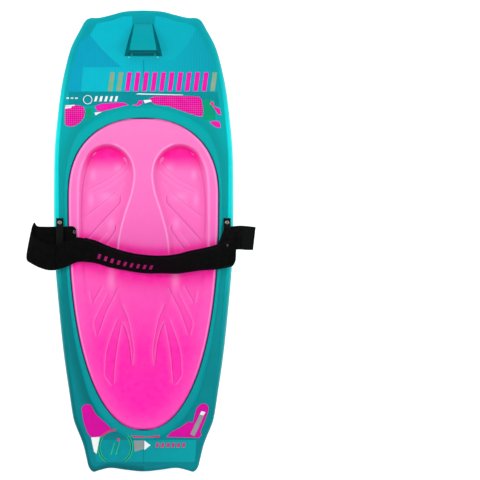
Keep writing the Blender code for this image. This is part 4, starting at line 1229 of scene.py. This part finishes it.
def make_screw(name, x, y, material, steps=32, rings=10, shank_steps=16):
    """A domed head with a crossed recess and the top of its shank, standing for the CAD screw."""
    seat = THICKNESS + 2 * GAP + BRACKET_THICKNESS
    verts, faces = [], []
    for ring in range(rings + 1):
        angle = math.pi / 2 * (1 - ring / rings)
        radius = SCREW_HEAD * math.sin(angle) if ring < rings else 0.0003
        top = seat + SCREW_DOME * math.cos(angle) ** 0.85
        for cx, cy, _ in circle(0, 0, 0, radius, steps):
            cross = min(abs(cx), abs(cy))
            recess = RECESS_DEPTH * smooth(0.0011, 0.0006, cross) * smooth(0.0034, 0.0024, radius)
            verts.append((x + cx, y + cy, top - recess))
    faces += grid_faces(rings + 1, steps, closed=True)
    faces += [tuple(reversed(range(steps))), tuple(rings * steps + c for c in range(steps))]
    shank = len(verts)
    for z in (seat, seat - SHANK_LENGTH):
        verts += circle(x, y, z, SHANK_RADIUS, shank_steps)
    faces += grid_faces(2, shank_steps, closed=True, first=shank)
    faces.append(tuple(shank + shank_steps + c for c in range(shank_steps)))
    screw = mesh_object(f"{name}_screw_head", verts, faces, material)
    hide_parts(f"{name}_screw")
    return screw


def make_hardware():
    plastic = moulded_look("bracket_plastic", BRACKET_BLACK, 0.4, 0.55)
    steel = metal_look("steel", (0.34, 0.32, 0.28), 0.2, 0.32)
    for side, x in (("left", -BRACKET_X), ("right", BRACKET_X)):
        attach(make_bracket(side, x, plastic), "board")
        for end, y in (("front", SCREW_Y), ("rear", -SCREW_Y)):
            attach(make_screw(f"{side}_{end}", x, y, steel), "board")


def dress_cad_nodes():
    """Node materials for the CAD nodes that show as they are."""
    looks = {"foam_core": moulded_look("core_foam", CORE_CREAM, 0.8, 0.95),
             "fill_plug": moulded_look("plug_plastic", GREY, 0.4, 0.55),
             "tab_eyelet": metal_look("eyelet_steel", (0.3, 0.31, 0.31), 0.22, 0.36),
             "strap_rivet": metal_look("rivet_steel", (0.1, 0.1, 0.1), 0.3, 0.45)}
    brass = metal_look("brass", (0.6, 0.44, 0.17), 0.3, 0.45)
    for name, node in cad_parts.items():
        if not node.hide_render:
            node.data.materials.clear()
            node.data.materials.append(looks.get(name, brass))


# The studio


def area_light(name, place, size, power):
    data = bpy.data.lights.new(name, "AREA")
    data.shape, data.size, data.size_y, data.energy = "RECTANGLE", *size, power
    light = link(bpy.data.objects.new(name, data))
    light.location = place
    light.rotation_euler = (-Vector(place)).to_track_quat("-Z", "Y").to_euler()
    return light


def make_floor():
    """White paper that glows a little, so that it stays evenly white."""
    corners = [(FLOOR_REACH * x, FLOOR_REACH * y, 0.0) for x, y in ((-1, -1), (1, -1), (1, 1), (-1, 1))]
    look = Look("floor_paper", 0.9)
    look.colour(look.mix(look.noise(2.0, 2.0), (0.55, 0.55, 0.55), (0.57, 0.57, 0.57)))
    look.shader.inputs["Emission Color"].default_value = (1, 1, 1, 1)
    look.shader.inputs["Emission Strength"].default_value = FLOOR_GLOW
    mesh_object("floor", corners, [(0, 1, 2, 3)], look.material, smooth_shaded=False)


def make_studio():
    make_floor()
    world = bpy.data.worlds.new("studio")
    bpy.context.scene.world = world
    world.use_nodes = True
    tree = world.node_tree
    up = tree.nodes.new("ShaderNodeSeparateXYZ")
    tree.links.new(tree.nodes.new("ShaderNodeTexCoord").outputs["Generated"], up.inputs[0])
    sky = tree.nodes.new("ShaderNodeValToRGB")
    for element, (place, level) in zip(sky.color_ramp.elements, ((0.25, WORLD_LOW), (0.95, WORLD_TOP))):
        element.position, element.color = place, (level, level, level, 1.0)
    tree.links.new(up.outputs["Z"], sky.inputs[0])
    tree.links.new(sky.outputs[0], tree.nodes["Background"].inputs[0])
    for name, place, size, power in LIGHTS:
        light = area_light(name, place, size, power)
        light.visible_camera = light.visible_glossy = name != "overhead"
    camera = link(bpy.data.objects.new("camera", bpy.data.cameras.new("camera")))
    camera.location = CAMERA_PLACE
    camera.data.lens, camera.data.sensor_width = LENS, SENSOR
    camera.data.clip_end = 100
    bpy.context.scene.camera = camera
    bpy.context.scene.view_settings.view_transform = "Standard"


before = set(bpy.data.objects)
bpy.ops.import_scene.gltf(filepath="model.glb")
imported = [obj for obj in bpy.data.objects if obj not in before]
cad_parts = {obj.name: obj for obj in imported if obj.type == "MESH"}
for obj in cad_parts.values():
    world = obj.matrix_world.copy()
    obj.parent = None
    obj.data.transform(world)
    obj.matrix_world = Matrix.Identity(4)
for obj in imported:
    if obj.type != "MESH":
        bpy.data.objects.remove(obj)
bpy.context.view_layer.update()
make_studio()
hull_piece = make_hull()
hook_piece = make_hook(hull_piece.data.materials[0])
for rigid_piece in (hull_piece, hook_piece, make_pad(), *make_prints(hull_piece, hook_piece)):
    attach(rigid_piece, "board")
make_strap()
make_tail()
make_hardware()
dress_cad_nodes()
